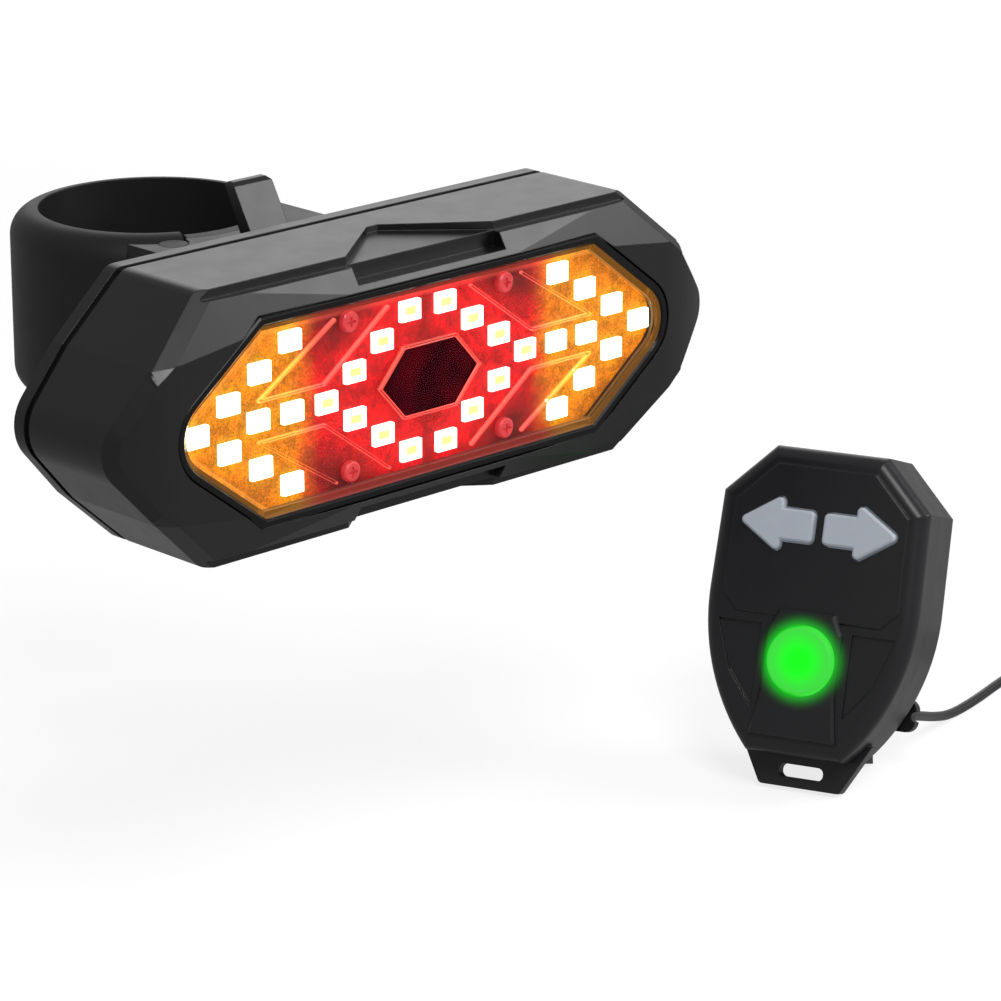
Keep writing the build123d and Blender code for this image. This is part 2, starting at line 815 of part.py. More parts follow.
# Charging flap on its vertical pin
with BuildPart() as usb_cover:
    flap_root_x = flap_pin_x + flap_knuckle_radius + running_gap
    flap_end_x = -side_opening_x + flap_length / 2
    with BuildSketch(ahead(flap_front)):
        with Locations(((flap_root_x + flap_end_x) / 2, 0)):
            RectangleRounded(flap_end_x - flap_root_x, flap_height, flap_height / 6)
        with Locations(((flap_root_x + flap_pin_x) / 2 + flap_knuckle_radius / 2, 0)):
            Rectangle(flap_root_x - flap_pin_x + flap_knuckle_radius, flap_knuckle_height)
    extrude(amount=flap_thickness)
    chamfer(usb_cover.faces().sort_by(Axis.Y)[-1].edges(), flap_thickness / 4)
    with BuildSketch(ahead(flap_back)):
        with Locations((-side_opening_x, 0)):
            RectangleRounded(usb_width - 2 * running_gap, usb_height - 2 * running_gap, usb_height / 4)
    extrude(amount=running_gap + flap_plug_depth)
    with Locations((flap_pin_x, -flap_pin_reach, 0)):
        Cylinder(flap_knuckle_radius, flap_knuckle_height)
        Cylinder(flap_pin_radius + flap_pin_play, flap_height, mode=Mode.SUBTRACT)
nodes["usb_cover"] = usb_cover

with BuildPart() as usb_cover_pin:
    with Locations((flap_pin_x, -flap_pin_reach, 0)):
        Cylinder(flap_pin_radius, 2 * (lug_z + flap_lug_thickness))
nodes["usb_cover_pin"] = usb_cover_pin

# Slide rail on the lamp's back
rail_neck = back_reach - rail_stem_depth
rail_back = rail_neck - rail_head_depth
rail_seat = rail_back + screw_head_height + seat_gap
with BuildPart() as mount_rail:
    with BuildSketch(ahead(rail_neck)):
        Rectangle(rail_stem_width, rail_height)
    extrude(amount=rail_stem_depth)
    with BuildSketch(ahead(rail_back)):
        Rectangle(rail_head_width, rail_height)
    extrude(amount=rail_head_depth)
    chamfer(mount_rail.faces().sort_by(Axis.Z)[0].edges(), slot_gap)
    with BuildSketch(ahead(rail_back)):
        with Locations(*rail_screw_places):
            Circle(screw_head_radius + head_gap)
    extrude(amount=rail_seat - rail_back, mode=Mode.SUBTRACT)
    with BuildSketch(ahead(rail_back)):
        with Locations(*rail_screw_places):
            Circle(screw_radius + seat_gap)
    extrude(amount=back_reach - rail_back, mode=Mode.SUBTRACT)
nodes["mount_rail"] = mount_rail
nodes["rail_screws"] = screw_group(
    behind_facing(rail_seat), rail_screw_places, rail_screw_length, *machine_screw
)

# Bracket on the post: rail slot open at the top, lever pocket, bead groove and hook


def sector(plane, inner, outer, start, end):
    """Ring sector between two turns, counted from the lamp towards +X."""
    steps = ceil((end - start) / 60)
    turns = [radians(start + (end - start) * step / steps) for step in range(steps + 1)]
    with BuildSketch(plane) as sketch:
        Circle(outer)
        Circle(inner, mode=Mode.SUBTRACT)
        with BuildLine():
            rim_points = [(2 * outer * sin(turn), -2 * outer * cos(turn)) for turn in turns]
            Polyline((0, 0), *rim_points, close=True)
        make_face(mode=Mode.INTERSECT)
    return sketch.sketch


bracket_front = back_reach - bracket_gap
lever_front = rail_back - lever_stand
lever_back = lever_front - lever_thickness
lever_pin_reach = lever_front - lever_thickness / 2
bracket_top = bracket_height / 2
pocket_back = lever_back - (bracket_top - lever_pivot_z) * tan(radians(lever_swing)) - running_gap
pocket_foot = lever_pivot_z - lever_tail - running_gap
slot_foot = -rail_height / 2 - slot_gap
slot_back = rail_back - slot_gap
slot_neck = rail_neck + slot_gap
bead_place = (
    (band_radius + bead_proud) * sin(radians(bead_turn)),
    -(band_radius + bead_proud) * cos(radians(bead_turn)),
)

with BuildPart() as bracket:
    with BuildSketch(Plane.XY.offset(-bracket_top)):
        with Locations((0, -(bracket_front + bracket_tail_reach) / 2)):
            Rectangle(2 * bracket_half_width, bracket_front - bracket_tail_reach)
    extrude(amount=bracket_height)
    fillet(bracket.edges().filter_by(Axis.Z).group_by(Axis.Y)[0], bracket_corner_round)
    with BuildSketch(Plane.XY.offset(-bracket_top)):
        Circle(seat_radius + seat_gap)
        with Locations(bead_place):
            Circle(bead_radius + hook_gap)
    extrude(amount=bracket_height, mode=Mode.SUBTRACT)
    strap_space = sector(
        Plane.XY.offset(-bracket_top), bore_radius, band_radius + running_gap,
        -bracket_half_turn, strap_end_turn + strap_play_turn,
    )
    extrude(strap_space, amount=bracket_height, mode=Mode.SUBTRACT)
    rail_slot_height = bracket_top + overrun - slot_foot
    for back, front, width in (
        (slot_back, slot_neck, rail_head_width),
        (slot_neck, bracket_front + overrun, rail_stem_width),
    ):
        with Locations((0, -(back + front) / 2, slot_foot + rail_slot_height / 2)):
            Box(width + 2 * slot_gap, front - back, rail_slot_height, mode=Mode.SUBTRACT)
    pocket_height = bracket_top + overrun - pocket_foot
    with Locations((0, -(pocket_back + slot_back) / 2, pocket_foot + pocket_height / 2)):
        Box(lever_width + 2 * running_gap, slot_back - pocket_back, pocket_height, mode=Mode.SUBTRACT)
    with BuildSketch(Plane.YZ.offset(-lever_pin_half_length)):
        with Locations((-lever_pin_reach, lever_pivot_z)):
            Circle(lever_pin_radius)
    extrude(amount=lever_pin_half_length + bracket_half_width, mode=Mode.SUBTRACT)
    with BuildSketch(Plane.YZ.offset(bracket_half_width)):
        with Locations((-hook_reach, 0)):
            Circle(hook_radius)
    extrude(amount=strap_gap + tail_thickness + running_gap)
    with BuildSketch(Plane.YZ.offset(bracket_half_width + strap_gap + tail_thickness + running_gap)):
        with Locations((-hook_reach, 0)):
            Circle(hook_head_radius)
    extrude(amount=hook_head_height)
    fillet(bracket.faces().sort_by(Axis.X)[-1].edges(), hook_head_height * 0.6)
nodes["bracket"] = bracket

with BuildPart() as saddle_pad:
    pad_plane = Plane.XY.offset(-bracket_top)
    pad = sector(pad_plane, bore_radius, seat_radius, pad_left_turn, pad_right_turn)
    extrude(pad, amount=bracket_height)
nodes["saddle_pad"] = saddle_pad

with BuildPart() as release_lever:
    nose_foot = rail_height / 2 + slot_gap
    nose_reach = rail_back + nose_grip
    lever_tab = lever_thickness * 0.9
    with BuildSketch(Plane.YZ.offset(-lever_width / 2)):
        with BuildLine():
            Polyline(
                (-lever_front, lever_pivot_z - lever_tail),
                (-lever_front, nose_foot),
                (-nose_reach, nose_foot),
                (-nose_reach, nose_foot + nose_height / 3),
                (-lever_front, nose_foot + nose_height),
                (-lever_front, lever_bend_z),
                (-lever_front + lever_lean, lever_rise),
                (-lever_front + lever_lean + lever_tab, lever_rise),
                (-lever_back, lever_bend_z - nose_height / 3),
                (-lever_back, lever_pivot_z - lever_tail),
                close=True,
            )
        make_face()
        with Locations((-lever_pin_reach, lever_pivot_z)):
            Circle(lever_pin_radius + lever_pin_play, mode=Mode.SUBTRACT)
    extrude(amount=lever_width)
    top = release_lever.faces().sort_by(Axis.Z)[-1]
    chamfer(top.edges(), lever_tab / 4)
nodes["release_lever"] = release_lever

with BuildPart() as lever_pin:
    with BuildSketch(Plane.YZ.offset(-lever_pin_half_length)):
        with Locations((-lever_pin_reach, lever_pivot_z)):
            Circle(lever_pin_radius)
    extrude(amount=2 * lever_pin_half_length)
nodes["lever_pin"] = lever_pin

with BuildPart() as lever_spring:
    with BuildSketch(Plane.YZ.offset(-lever_width / 4)):
        with BuildLine():
            Polyline(
                (-pocket_back, spring_foot_z),
                (-pocket_back, spring_bend_z),
                (-lever_back + spring_thickness, spring_tip_z),
                (-lever_back, spring_tip_z),
                (-pocket_back - spring_thickness, spring_bend_z),
                (-pocket_back - spring_thickness, spring_foot_z),
                close=True,
            )
        make_face()
    extrude(amount=lever_width / 2)
nodes["lever_spring"] = lever_spring

# Rubber strap: bead on the left, round the post, ribbed tail with its eye on the right
with BuildPart() as post_strap:
    band_plane = Plane.XY.offset(-band_height / 2)
    band = sector(band_plane, bore_radius, band_radius, strap_start_turn, strap_end_turn)
    extrude(band, amount=band_height)
    rounds = post_strap.edges().filter_by(GeomType.CIRCLE)
    rims = rounds.filter_by(lambda edge: edge.radius > seat_radius)
    fillet(rims, band_edge_round)
    with BuildSketch(Plane.XY.offset(-bracket_top)):
        with Locations(bead_place):
            Circle(bead_radius)
    extrude(amount=bracket_height)
    with BuildSketch(Plane.YZ.offset(bore_radius)) as tail_sketch:
        with BuildLine():
            Polyline(
                (0, tail_root_height / 2),
                (-tail_taper, tail_height / 2),
                (-tail_length, tail_height / 2),
                (-tail_length, -tail_height / 2),
                (-tail_taper, -tail_height / 2),
                (0, -tail_root_height / 2),
                close=True,
            )
        make_face()
        fillet(tail_sketch.vertices().group_by(Axis.X)[0], tail_end_round)
        with Locations((-hook_reach, 0)):
            Circle(hook_radius + hook_gap, mode=Mode.SUBTRACT)
    extrude(amount=tail_thickness)
    with BuildSketch(Plane.YZ.offset(bore_radius + tail_thickness)):
        for rib in range(tail_rib_count):
            with Locations((-tail_rib_start - rib * tail_rib_pitch, 0)):
                Rectangle(tail_rib_width, tail_height - 2 * tail_rib_width)
    extrude(amount=tail_rib_height)
nodes["post_strap"] = post_strap

# Remote: stands on its tab and its saddle, leaning back
turn, lean = radians(remote_turn), radians(remote_lean)
saddle_front = remote_depth
saddle_sag = bar_diameter / 2 - sqrt((bar_diameter / 2) ** 2 - (saddle_height / 2) ** 2)
saddle_back = saddle_front + saddle_floor + saddle_sag
tab_back = front_depth + tab_thickness
tab_foot_z = -remote_half - tab_drop
saddle_foot_z = tab_foot_z + (saddle_back - tab_back) * tan(lean)
saddle_z = saddle_foot_z + saddle_height / 2
remote_z = -floor_drop - tab_foot_z * cos(lean) + tab_back * sin(lean)
face_plane = Plane(
    origin=(remote_x, remote_y, remote_z),
    x_dir=(cos(turn), sin(turn), 0),
    z_dir=(sin(turn) * cos(lean), -cos(turn) * cos(lean), sin(lean)),
)


def behind(depth):
    """Plane in the remote, facing its front, this far behind its face."""
    return face_plane.offset(-depth)


def from_behind(depth):
    """Plane that faces the remote's back, this far behind its face."""
    return Plane(
        origin=behind(depth).origin, x_dir=-face_plane.x_dir, z_dir=-face_plane.z_dir
    )


def mirrored(points):
    """Closed outline from the points of its right half, top to bottom."""
    return points + [(-x, z) for x, z in reversed(points)]


def remote_outline(plane, inset=0):
    top, shoulder, side = remote_top_width / 2, remote_shoulder_width / 2, remote_width / 2
    foot, waist_z = remote_foot_width / 2, remote_half - waist_drop
    shoulder_z = remote_half - shoulder_drop
    with BuildSketch(plane) as sketch:
        with BuildLine():
            Polyline(
                (-side, waist_z), (-shoulder, shoulder_z), (-top, remote_half),
                (top, remote_half), (shoulder, shoulder_z), (side, waist_z),
            )
            Line((foot, -remote_half), (-foot, -remote_half))
            for way in (-1, 1):
                along = (way * (side - shoulder), waist_z - shoulder_z)
                TangentArc((way * side, waist_z), (way * foot, -remote_half), tangent=along)
        make_face()
        if inset:
            offset(amount=-inset, kind=Kind.INTERSECTION)
    return sketch.sketch


def arrow_outline(plane, side, grow=0):
    root, tip = arrow_gap / 2, arrow_gap / 2 + arrow_length
    head = tip - arrow_head_length
    shaft_end = head + 2 * arrow_round
    with BuildSketch(plane) as sketch:
        with BuildLine():
            low, high = arrow_z - arrow_head_height / 2, arrow_z + arrow_head_height / 2
            Polyline((side * head, low), (side * tip, arrow_z), (side * head, high), close=True)
        make_face()
        fillet(sketch.vertices(), arrow_round)
        with Locations((side * (root + shaft_end) / 2, arrow_z)):
            RectangleRounded(shaft_end - root, arrow_shaft_height, arrow_round)
        if grow:
            offset(amount=grow, kind=Kind.INTERSECTION)
    return sketch.sketch


def spine_outline(plane, grow=0):
    half_top, half, half_foot = spine_top_width / 2, spine_width / 2, spine_foot_width / 2
    spine_top_z = round_key_z + spine_top_rise
    corner_z = spine_top_z - (half - half_top) * 2
    foot_z = -remote_half + panel_margin
    with BuildSketch(plane) as sketch:
        with BuildLine():
            points = [(half_top, spine_top_z), (half, corner_z), (half, round_key_z - round_key_radius)]
            Polyline(*mirrored(points + [(half_foot, foot_z)]), close=True)
        make_face()
        if grow:
            offset(amount=grow, kind=Kind.INTERSECTION)
    return sketch.sketch


def round_outline(plane, radius):
    with BuildSketch(plane) as sketch:
        with Locations((0, round_key_z)):
            Circle(radius)
    return sketch.sketch


boss_pairs = ((upper_boss_x, upper_boss_drop), (lower_boss_x, lower_boss_drop))
remote_boss_places = [(sx * x, remote_half - drop) for x, drop in boss_pairs for sx in (-1, 1)]
remote_screw_seat = remote_depth - remote_wall
arrow_centre = arrow_gap / 2 + arrow_length - arrow_head_length * 0.75
switch_places = [(-arrow_centre, arrow_z), (arrow_centre, arrow_z), (0, round_key_z)]
panel_foot_z = round_key_z + panel_foot_rise
face_axis = Axis(face_plane.origin, face_plane.z_dir)

with BuildPart() as front_hollow:
    hollow_outline = remote_outline(behind(front_depth + overrun), remote_wall)
    extrude(hollow_outline, amount=front_depth + overrun - remote_wall)
    with BuildSketch(behind(front_depth + overrun)):
        with Locations(*remote_boss_places):
            Circle(remote_boss_radius)
    extrude(amount=front_depth + overrun, mode=Mode.SUBTRACT)

with BuildPart() as remote_front_shell:
    extrude(remote_outline(behind(front_depth)), amount=front_depth)
    fillet(remote_front_shell.faces().sort_by(face_axis)[-1].edges(), remote_front_edge)
    with BuildSketch(face_plane):
        with BuildLine():
            shoulder_z = remote_half - shoulder_drop
            slope_drop = panel_margin * panel_slope_share
            Polyline(
                *mirrored([
                    (remote_top_width / 2 - slope_drop, remote_half - panel_margin),
                    (remote_shoulder_width / 2 - panel_margin, shoulder_z - slope_drop),
                    (remote_width / 2 - panel_margin, panel_foot_z + panel_margin),
                    (remote_width / 2 - 2 * panel_margin, panel_foot_z),
                ]),
                close=True,
            )
        make_face()
    extrude(amount=panel_height)
    chamfer(remote_front_shell.faces().sort_by(face_axis)[-1].edges(), panel_bevel)
    extrude(spine_outline(face_plane), amount=panel_height + spine_height)
    chamfer(remote_front_shell.faces().sort_by(face_axis)[-1].edges(), spine_bevel)
    for side in (-1, 1):
        with BuildSketch(face_plane):
            inner, outer = spine_width / 2 + panel_margin / 2, remote_width / 2 - panel_margin
            recess_top, recess_foot = panel_foot_z - panel_margin / 2, round_key_z - recess_foot_drop
            with BuildLine():
                Polyline(
                    (side * inner, recess_top),
                    (side * outer, recess_top),
                    (side * (outer - panel_margin), recess_foot),
                    (side * inner, recess_foot - 2 * panel_margin),
                    close=True,
                )
            make_face()
        extrude(amount=-relief_depth, mode=Mode.SUBTRACT)
    add(front_hollow.part, mode=Mode.SUBTRACT)
    key_cut = remote_wall + 2 * overrun
    for side in (-1, 1):
        arrow_opening = arrow_outline(behind(remote_wall + overrun / 2), side, running_gap)
        extrude(arrow_opening, amount=key_cut, mode=Mode.SUBTRACT)
    extrude(
        round_outline(behind(remote_wall + overrun / 2), round_key_radius + running_gap),
        amount=key_cut, mode=Mode.SUBTRACT,
    )
    with BuildSketch(behind(front_depth)):
        with Locations(*remote_boss_places):
            Circle(small_screw_radius)
    extrude(amount=remote_thread, mode=Mode.SUBTRACT)
nodes["remote_front_shell"] = remote_front_shell

with BuildPart() as back_hollow:
    extrude(remote_outline(behind(remote_screw_seat), remote_wall), amount=rear_depth - remote_wall + overrun)
    with BuildSketch(behind(remote_screw_seat)):
        with Locations(*remote_boss_places):
            Circle(remote_boss_radius)
    extrude(amount=rear_depth - remote_wall + overrun, mode=Mode.SUBTRACT)

with BuildPart() as remote_seal:
    seal_plane = behind(front_depth + seal_depth)
    extrude(remote_outline(seal_plane, groove_inset), amount=seal_depth)
    extrude(remote_outline(seal_plane, groove_inset + groove_width), amount=seal_depth, mode=Mode.SUBTRACT)
nodes["remote_seal"] = remote_seal

with BuildPart() as remote_back_shell:
    extrude(remote_outline(behind(remote_depth)), amount=rear_depth)
    fillet(remote_back_shell.faces().sort_by(face_axis)[0].edges(), remote_back_edge)
    with BuildSketch(behind(tab_back)) as tab_sketch:
        with BuildLine():
            tab_root_z = tab_root_rise - remote_half
            tab_corners = [(tab_top_width / 2, tab_root_z), (tab_foot_width / 2, tab_foot_z)]
            Polyline(*mirrored(tab_corners), close=True)
        make_face()
        fillet(tab_sketch.vertices().group_by(Axis.Y)[0], tab_thickness / 3)
    extrude(amount=tab_thickness)
    add(back_hollow.part, mode=Mode.SUBTRACT)
    with BuildSketch(behind(tab_back + overrun)):
        with Locations((0, tab_foot_z + tab_drop / 2)):
            RectangleRounded(slot_width, slot_height, slot_height * 0.45)
    extrude(amount=tab_thickness + 2 * overrun, mode=Mode.SUBTRACT)
    with BuildSketch(behind(remote_depth + overrun)):
        with Locations((0, cell_z)):
            Circle(door_radius + running_gap)
            with PolarLocations(door_radius + running_gap, 2, start_angle=door_turn):
                Rectangle(2 * (lug_reach + running_gap), lug_width + 2 * running_gap)
        with Locations(*remote_boss_places):
            Circle(small_head_radius + head_gap)
    extrude(amount=remote_wall + overrun, mode=Mode.SUBTRACT)
    with BuildSketch(behind(remote_depth)):
        with Locations(*remote_boss_places):
            Circle(small_screw_radius + seat_gap)
    extrude(amount=rear_depth, mode=Mode.SUBTRACT)
    with BuildSketch(behind(remote_depth)):
        with Locations(*[(sx * saddle_screw_x, saddle_z) for sx in (-1, 1)]):
            Circle(small_screw_radius + seat_gap)
    extrude(amount=remote_wall, mode=Mode.SUBTRACT)
    add(remote_seal.part, mode=Mode.SUBTRACT)
nodes["remote_back_shell"] = remote_back_shell

# Keys of the remote: cap, flange behind the wall, stem to its switch
flange_front = remote_wall + running_gap
flange_back = flange_front + key_flange
stem_back = remote_board_front - switch_height - switch_gap - key_travel
arrow_front = panel_height + key_rise
round_front = panel_height + spine_height + key_rise

for side, name in ((-1, "left_arrow_key"), (1, "right_arrow_key")):
    with BuildPart() as arrow_key:
        extrude(arrow_outline(behind(flange_front), side), amount=flange_front + arrow_front)
        chamfer(arrow_key.faces().sort_by(face_axis)[-1].edges(), key_rise / 3)
        extrude(arrow_outline(behind(flange_back), side, key_flange_lap), amount=key_flange)
        with BuildSketch(behind(flange_back)):
            with Locations((0, arrow_z)):
                Rectangle(2 * running_gap, arrow_head_height)
        extrude(amount=key_flange, mode=Mode.SUBTRACT)
        with BuildSketch(behind(stem_back)):
            with Locations((side * arrow_centre, arrow_z)):
                Circle(key_stem_radius)
        extrude(amount=stem_back - flange_back)
    nodes[name] = arrow_key

with BuildPart() as round_key:
    extrude(round_outline(behind(flange_front), round_key_radius), amount=flange_front + round_front)
    fillet(round_key.faces().sort_by(face_axis)[-1].edges(), key_rise / 2)
    extrude(round_outline(behind(flange_back), round_key_radius + key_flange_lap), amount=key_flange)
    extrude(round_outline(behind(stem_back), key_stem_radius), amount=stem_back - flange_back)
nodes["round_key"] = round_key

# Board of the remote, its switches and light
remote_board_back = remote_board_front + remote_board_thickness
with BuildPart() as remote_board:
    board_outline = remote_outline(behind(remote_board_back), remote_wall + running_gap)
    extrude(board_outline, amount=remote_board_thickness)
    with BuildSketch(behind(remote_board_back)):
        with Locations(*remote_boss_places):
            Circle(remote_boss_radius + seat_gap)
    extrude(amount=remote_board_thickness, mode=Mode.SUBTRACT)
nodes["remote_board"] = remote_board

with BuildPart() as key_switches:
    with BuildSketch(behind(remote_board_front)):
        with Locations(*switch_places):
            Rectangle(switch_size, switch_size)
    extrude(amount=switch_height)
nodes["key_switches"] = key_switches

with BuildPart() as status_led:
    with BuildSketch(behind(remote_board_front)):
        with Locations((0, round_key_z + switch_size)):
            Rectangle(switch_size / 2, switch_size / 4)
    extrude(amount=switch_height)
nodes["status_led"] = status_led

# Coin cell, its holder and contact spring, and the door behind it
cell_back = remote_screw_seat - running_gap
cell_front = cell_back - cell_thickness
holder_floor_back = cell_front - cell_spring_height
lug_back = remote_screw_seat - running_gap
lug_front = lug_back - lug_thickness
holder_back = lug_front - running_gap
with BuildPart() as cell_holder:
    with BuildSketch(behind(holder_back)):
        with Locations((0, cell_z)):
            Circle(cell_radius + seat_gap + holder_wall)
            Circle(cell_radius + seat_gap, mode=Mode.SUBTRACT)
    extrude(amount=holder_back - remote_board_back)
    with BuildSketch(behind(holder_floor_back)):
        with Locations((0, cell_z)):
            Circle(cell_radius + seat_gap + holder_wall / 2)
    extrude(amount=holder_floor)
nodes["cell_holder"] = cell_holder

with BuildPart() as coin_cell:
    with BuildSketch(behind(cell_back)):
        with Locations((0, cell_z)):
            Circle(cell_radius)
    extrude(amount=cell_thickness)
    chamfer(coin_cell.edges(), cell_thickness / 10)
nodes["coin_cell"] = coin_cell

with BuildPart() as cell_spring:
    with BuildSketch(behind(cell_front)):
        with Locations((0, cell_z)):
            Rectangle(cell_radius * 1.2, cell_radius / 3)
            Rectangle(cell_radius / 3, cell_radius * 1.2)
    extrude(amount=cell_spring_height)
nodes["cell_spring"] = cell_spring

with BuildPart() as battery_door:
    with BuildSketch(behind(remote_depth)):
        with Locations((0, cell_z)):
            Circle(door_radius)
    extrude(amount=remote_depth - remote_screw_seat)
    with BuildSketch(behind(remote_screw_seat)):
        with Locations((0, cell_z)):
            Circle(door_radius)
            Circle(cell_radius + 2 * running_gap, mode=Mode.SUBTRACT)
    extrude(amount=remote_screw_seat - lug_front)
    with BuildSketch(behind(lug_back)):
        with Locations((0, cell_z)):
            Rectangle(2 * (door_radius + lug_reach), lug_width)
            Circle(cell_radius + 2 * running_gap, mode=Mode.SUBTRACT)
    extrude(amount=lug_thickness)
    with BuildSketch(behind(remote_depth)):
        with Locations((0, cell_z)):
            SlotOverall(door_radius * 1.3, door_thickness * 1.1)
    extrude(amount=door_thickness / 2, mode=Mode.SUBTRACT)
nodes["battery_door"] = battery_door

nodes["shell_screws"] = screw_group(
    from_behind(remote_screw_seat), [(-x, z) for x, z in remote_boss_places],
    remote_screw_seat - front_depth + remote_thread - seat_gap, *small_screw,
)

# Rubber saddle that sits on a handlebar, with an ear for each end of the cord
with BuildPart() as bar_saddle:
    edge_start = face_plane.from_local_coords((-saddle_width / 2, 0, 0))
    profile_plane = Plane(origin=edge_start, x_dir=face_plane.y_dir, z_dir=face_plane.x_dir)
    with BuildSketch(profile_plane):
        with Locations((saddle_z, -(saddle_front + saddle_back) / 2)):
            Rectangle(saddle_height, saddle_back - saddle_front)
        with Locations((saddle_z, -(saddle_front + saddle_floor + bar_diameter / 2))):
            Circle(bar_diameter / 2, mode=Mode.SUBTRACT)
    extrude(amount=saddle_width)
    with BuildSketch(behind(ear_back)):
        with Locations((0, saddle_z)):
            RectangleRounded(saddle_width + 2 * ear_reach, ear_height, ear_height / 3)
        with Locations(*[(sx * (saddle_width / 2 + ear_reach), saddle_z) for sx in (-1, 1)]):
            Circle(cord_diameter / 2, mode=Mode.SUBTRACT)
    extrude(amount=ear_thickness)
    with BuildSketch(behind(saddle_front)):
        with Locations(*[(sx * saddle_screw_x, saddle_z) for sx in (-1, 1)]):
            Circle(small_screw_radius)
    extrude(amount=-saddle_screw_grip, mode=Mode.SUBTRACT)
nodes["bar_saddle"] = bar_saddle
nodes["saddle_screws"] = screw_group(
    behind(remote_screw_seat), [(sx * saddle_screw_x, saddle_z) for sx in (-1, 1)],
    remote_wall + saddle_screw_grip - seat_gap, *small_screw,
)

# Elastic cord from the right ear to its toggle, lying on the floor
cord_route = [
    (93.053, -62.679, -71.391),
    (99.973, -59.742, -74.127),
    (106.4, -56.8, -76.8),
    (113.0, -54.6, -78.9),
    (121.3, -52.7, -79.25),
    (130.7, -50.1, -79.25),
    (136.6, -48.9, -79.25),
    (141.1, -49.7, -79.25),
    (144.6, -52.4, -79.25),
    (146.2, -56.5, -79.25),
    (145.6, -60.9, -79.25),
    (142.9, -64.4, -79.25),
    (138.8, -66.0, -79.25),
    (134.7, -65.3, -79.25),
    (131.7, -62.6, -79.25),
    (130.8, -58.9, -79.1),
    (132.1, -55.6, -78.75),
    (135.1, -53.7, -78.65),
]
cord_points = [Vector(*point) for point in cord_route]
cord_radii = []
for before, corner, after in zip(cord_points, cord_points[1:], cord_points[2:]):
    run_in, run_out = corner - before, after - corner
    half_turn = radians(run_in.get_angle(run_out)) / 2
    cord_radii.append(0.45 * min(run_in.length, run_out.length) / tan(half_turn))
print("cord radii", [round(radius, 1) for radius in cord_radii])

with BuildPart() as mounting_cord:
    with BuildLine() as cord_path:
        FilletPolyline(*cord_points, radius=cord_radii)
    with BuildSketch(Plane(origin=cord_points[0], z_dir=cord_points[1] - cord_points[0])):
        Circle(cord_diameter / 2)
    sweep(path=cord_path.wire())
    cord_length = cord_path.wire().length
print("cord length", round(cord_length, 1), "volume", round(mounting_cord.part.volume, 2),
      "section times length", round(pi * (cord_diameter / 2) ** 2 * cord_length, 2))
nodes["mounting_cord"] = mounting_cord

with BuildPart() as cord_toggle:
    with BuildSketch(Plane(origin=cord_points[-1], z_dir=cord_points[-1] - cord_points[-2])):
        Circle(toggle_radius)
    extrude(amount=toggle_length)
    fillet(cord_toggle.edges(), toggle_radius / 3)
nodes["cord_toggle"] = cord_toggle

for name, piece in nodes.items():
    piece.part.label = name
    export_step(piece.part, f"parts/{name}.step")
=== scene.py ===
"""Looks of the bicycle turn signal light: its finishes, lamps, cord, light and camera.

Every length is in metres, in the model's own frame: the origin is on the strap's upright
axis at the lamp's height, the lamp faces -Y, and the remote stands to its right.
Inside a finish, patterns are measured in millimetres.
"""
import math

import bmesh
import bpy
from mathutils import Matrix, Vector


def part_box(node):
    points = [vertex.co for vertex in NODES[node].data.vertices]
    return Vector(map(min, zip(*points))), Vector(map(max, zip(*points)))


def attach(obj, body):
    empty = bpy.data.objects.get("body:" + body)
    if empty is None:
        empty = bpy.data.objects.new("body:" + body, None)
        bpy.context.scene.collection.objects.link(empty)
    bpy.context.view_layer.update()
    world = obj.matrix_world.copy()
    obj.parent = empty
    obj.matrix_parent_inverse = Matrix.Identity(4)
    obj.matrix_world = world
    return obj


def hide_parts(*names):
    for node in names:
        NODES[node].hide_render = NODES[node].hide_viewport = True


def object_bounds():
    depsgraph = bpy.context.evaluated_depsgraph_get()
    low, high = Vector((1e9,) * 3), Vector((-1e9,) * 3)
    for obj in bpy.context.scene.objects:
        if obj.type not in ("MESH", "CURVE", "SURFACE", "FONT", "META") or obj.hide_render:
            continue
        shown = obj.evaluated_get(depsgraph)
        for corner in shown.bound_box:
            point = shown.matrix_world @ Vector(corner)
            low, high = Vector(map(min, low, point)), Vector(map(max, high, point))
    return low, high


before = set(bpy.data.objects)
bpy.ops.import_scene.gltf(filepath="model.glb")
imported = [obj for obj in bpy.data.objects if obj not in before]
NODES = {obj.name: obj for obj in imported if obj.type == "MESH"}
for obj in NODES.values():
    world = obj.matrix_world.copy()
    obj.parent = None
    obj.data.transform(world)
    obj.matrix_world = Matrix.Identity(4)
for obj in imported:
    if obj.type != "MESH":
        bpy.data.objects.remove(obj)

MM = 0.001
CARRIER = "lamp_and_remote"


def corners():
    return [[float(value) for value in corner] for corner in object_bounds()]


def add_object(name, data):
    added = bpy.data.objects.new(name, data)
    bpy.context.scene.collection.objects.link(added)
    return added


def add_shape(name, shape):
    """A new mesh object from a bmesh, which is used up."""
    mesh = bpy.data.meshes.new(name)
    shape.to_mesh(mesh)
    shape.free()
    return add_object(name, mesh)


cad_corners = corners()

# Camera, at the photograph's viewing angle
CAMERA_PLACE = (-0.3702, -0.4535, 0.1600)
CAMERA_TURN = math.radians(44.04)
CAMERA_TILT = math.radians(18.11)
SENSOR_WIDTH = 36.0
FOCAL_LENGTH = 153.45
NEAREST_SEEN = 0.01
FARTHEST_SEEN = 30.0


def make_camera():
    data = bpy.data.cameras.new("camera")
    data.sensor_width = SENSOR_WIDTH
    data.lens = FOCAL_LENGTH
    data.clip_start = NEAREST_SEEN
    data.clip_end = FARTHEST_SEEN
    camera = add_object("camera", data)
    camera.location = CAMERA_PLACE
    camera.rotation_euler = (math.pi / 2 - CAMERA_TILT, 0, -CAMERA_TURN)
    bpy.context.scene.camera = camera


make_camera()

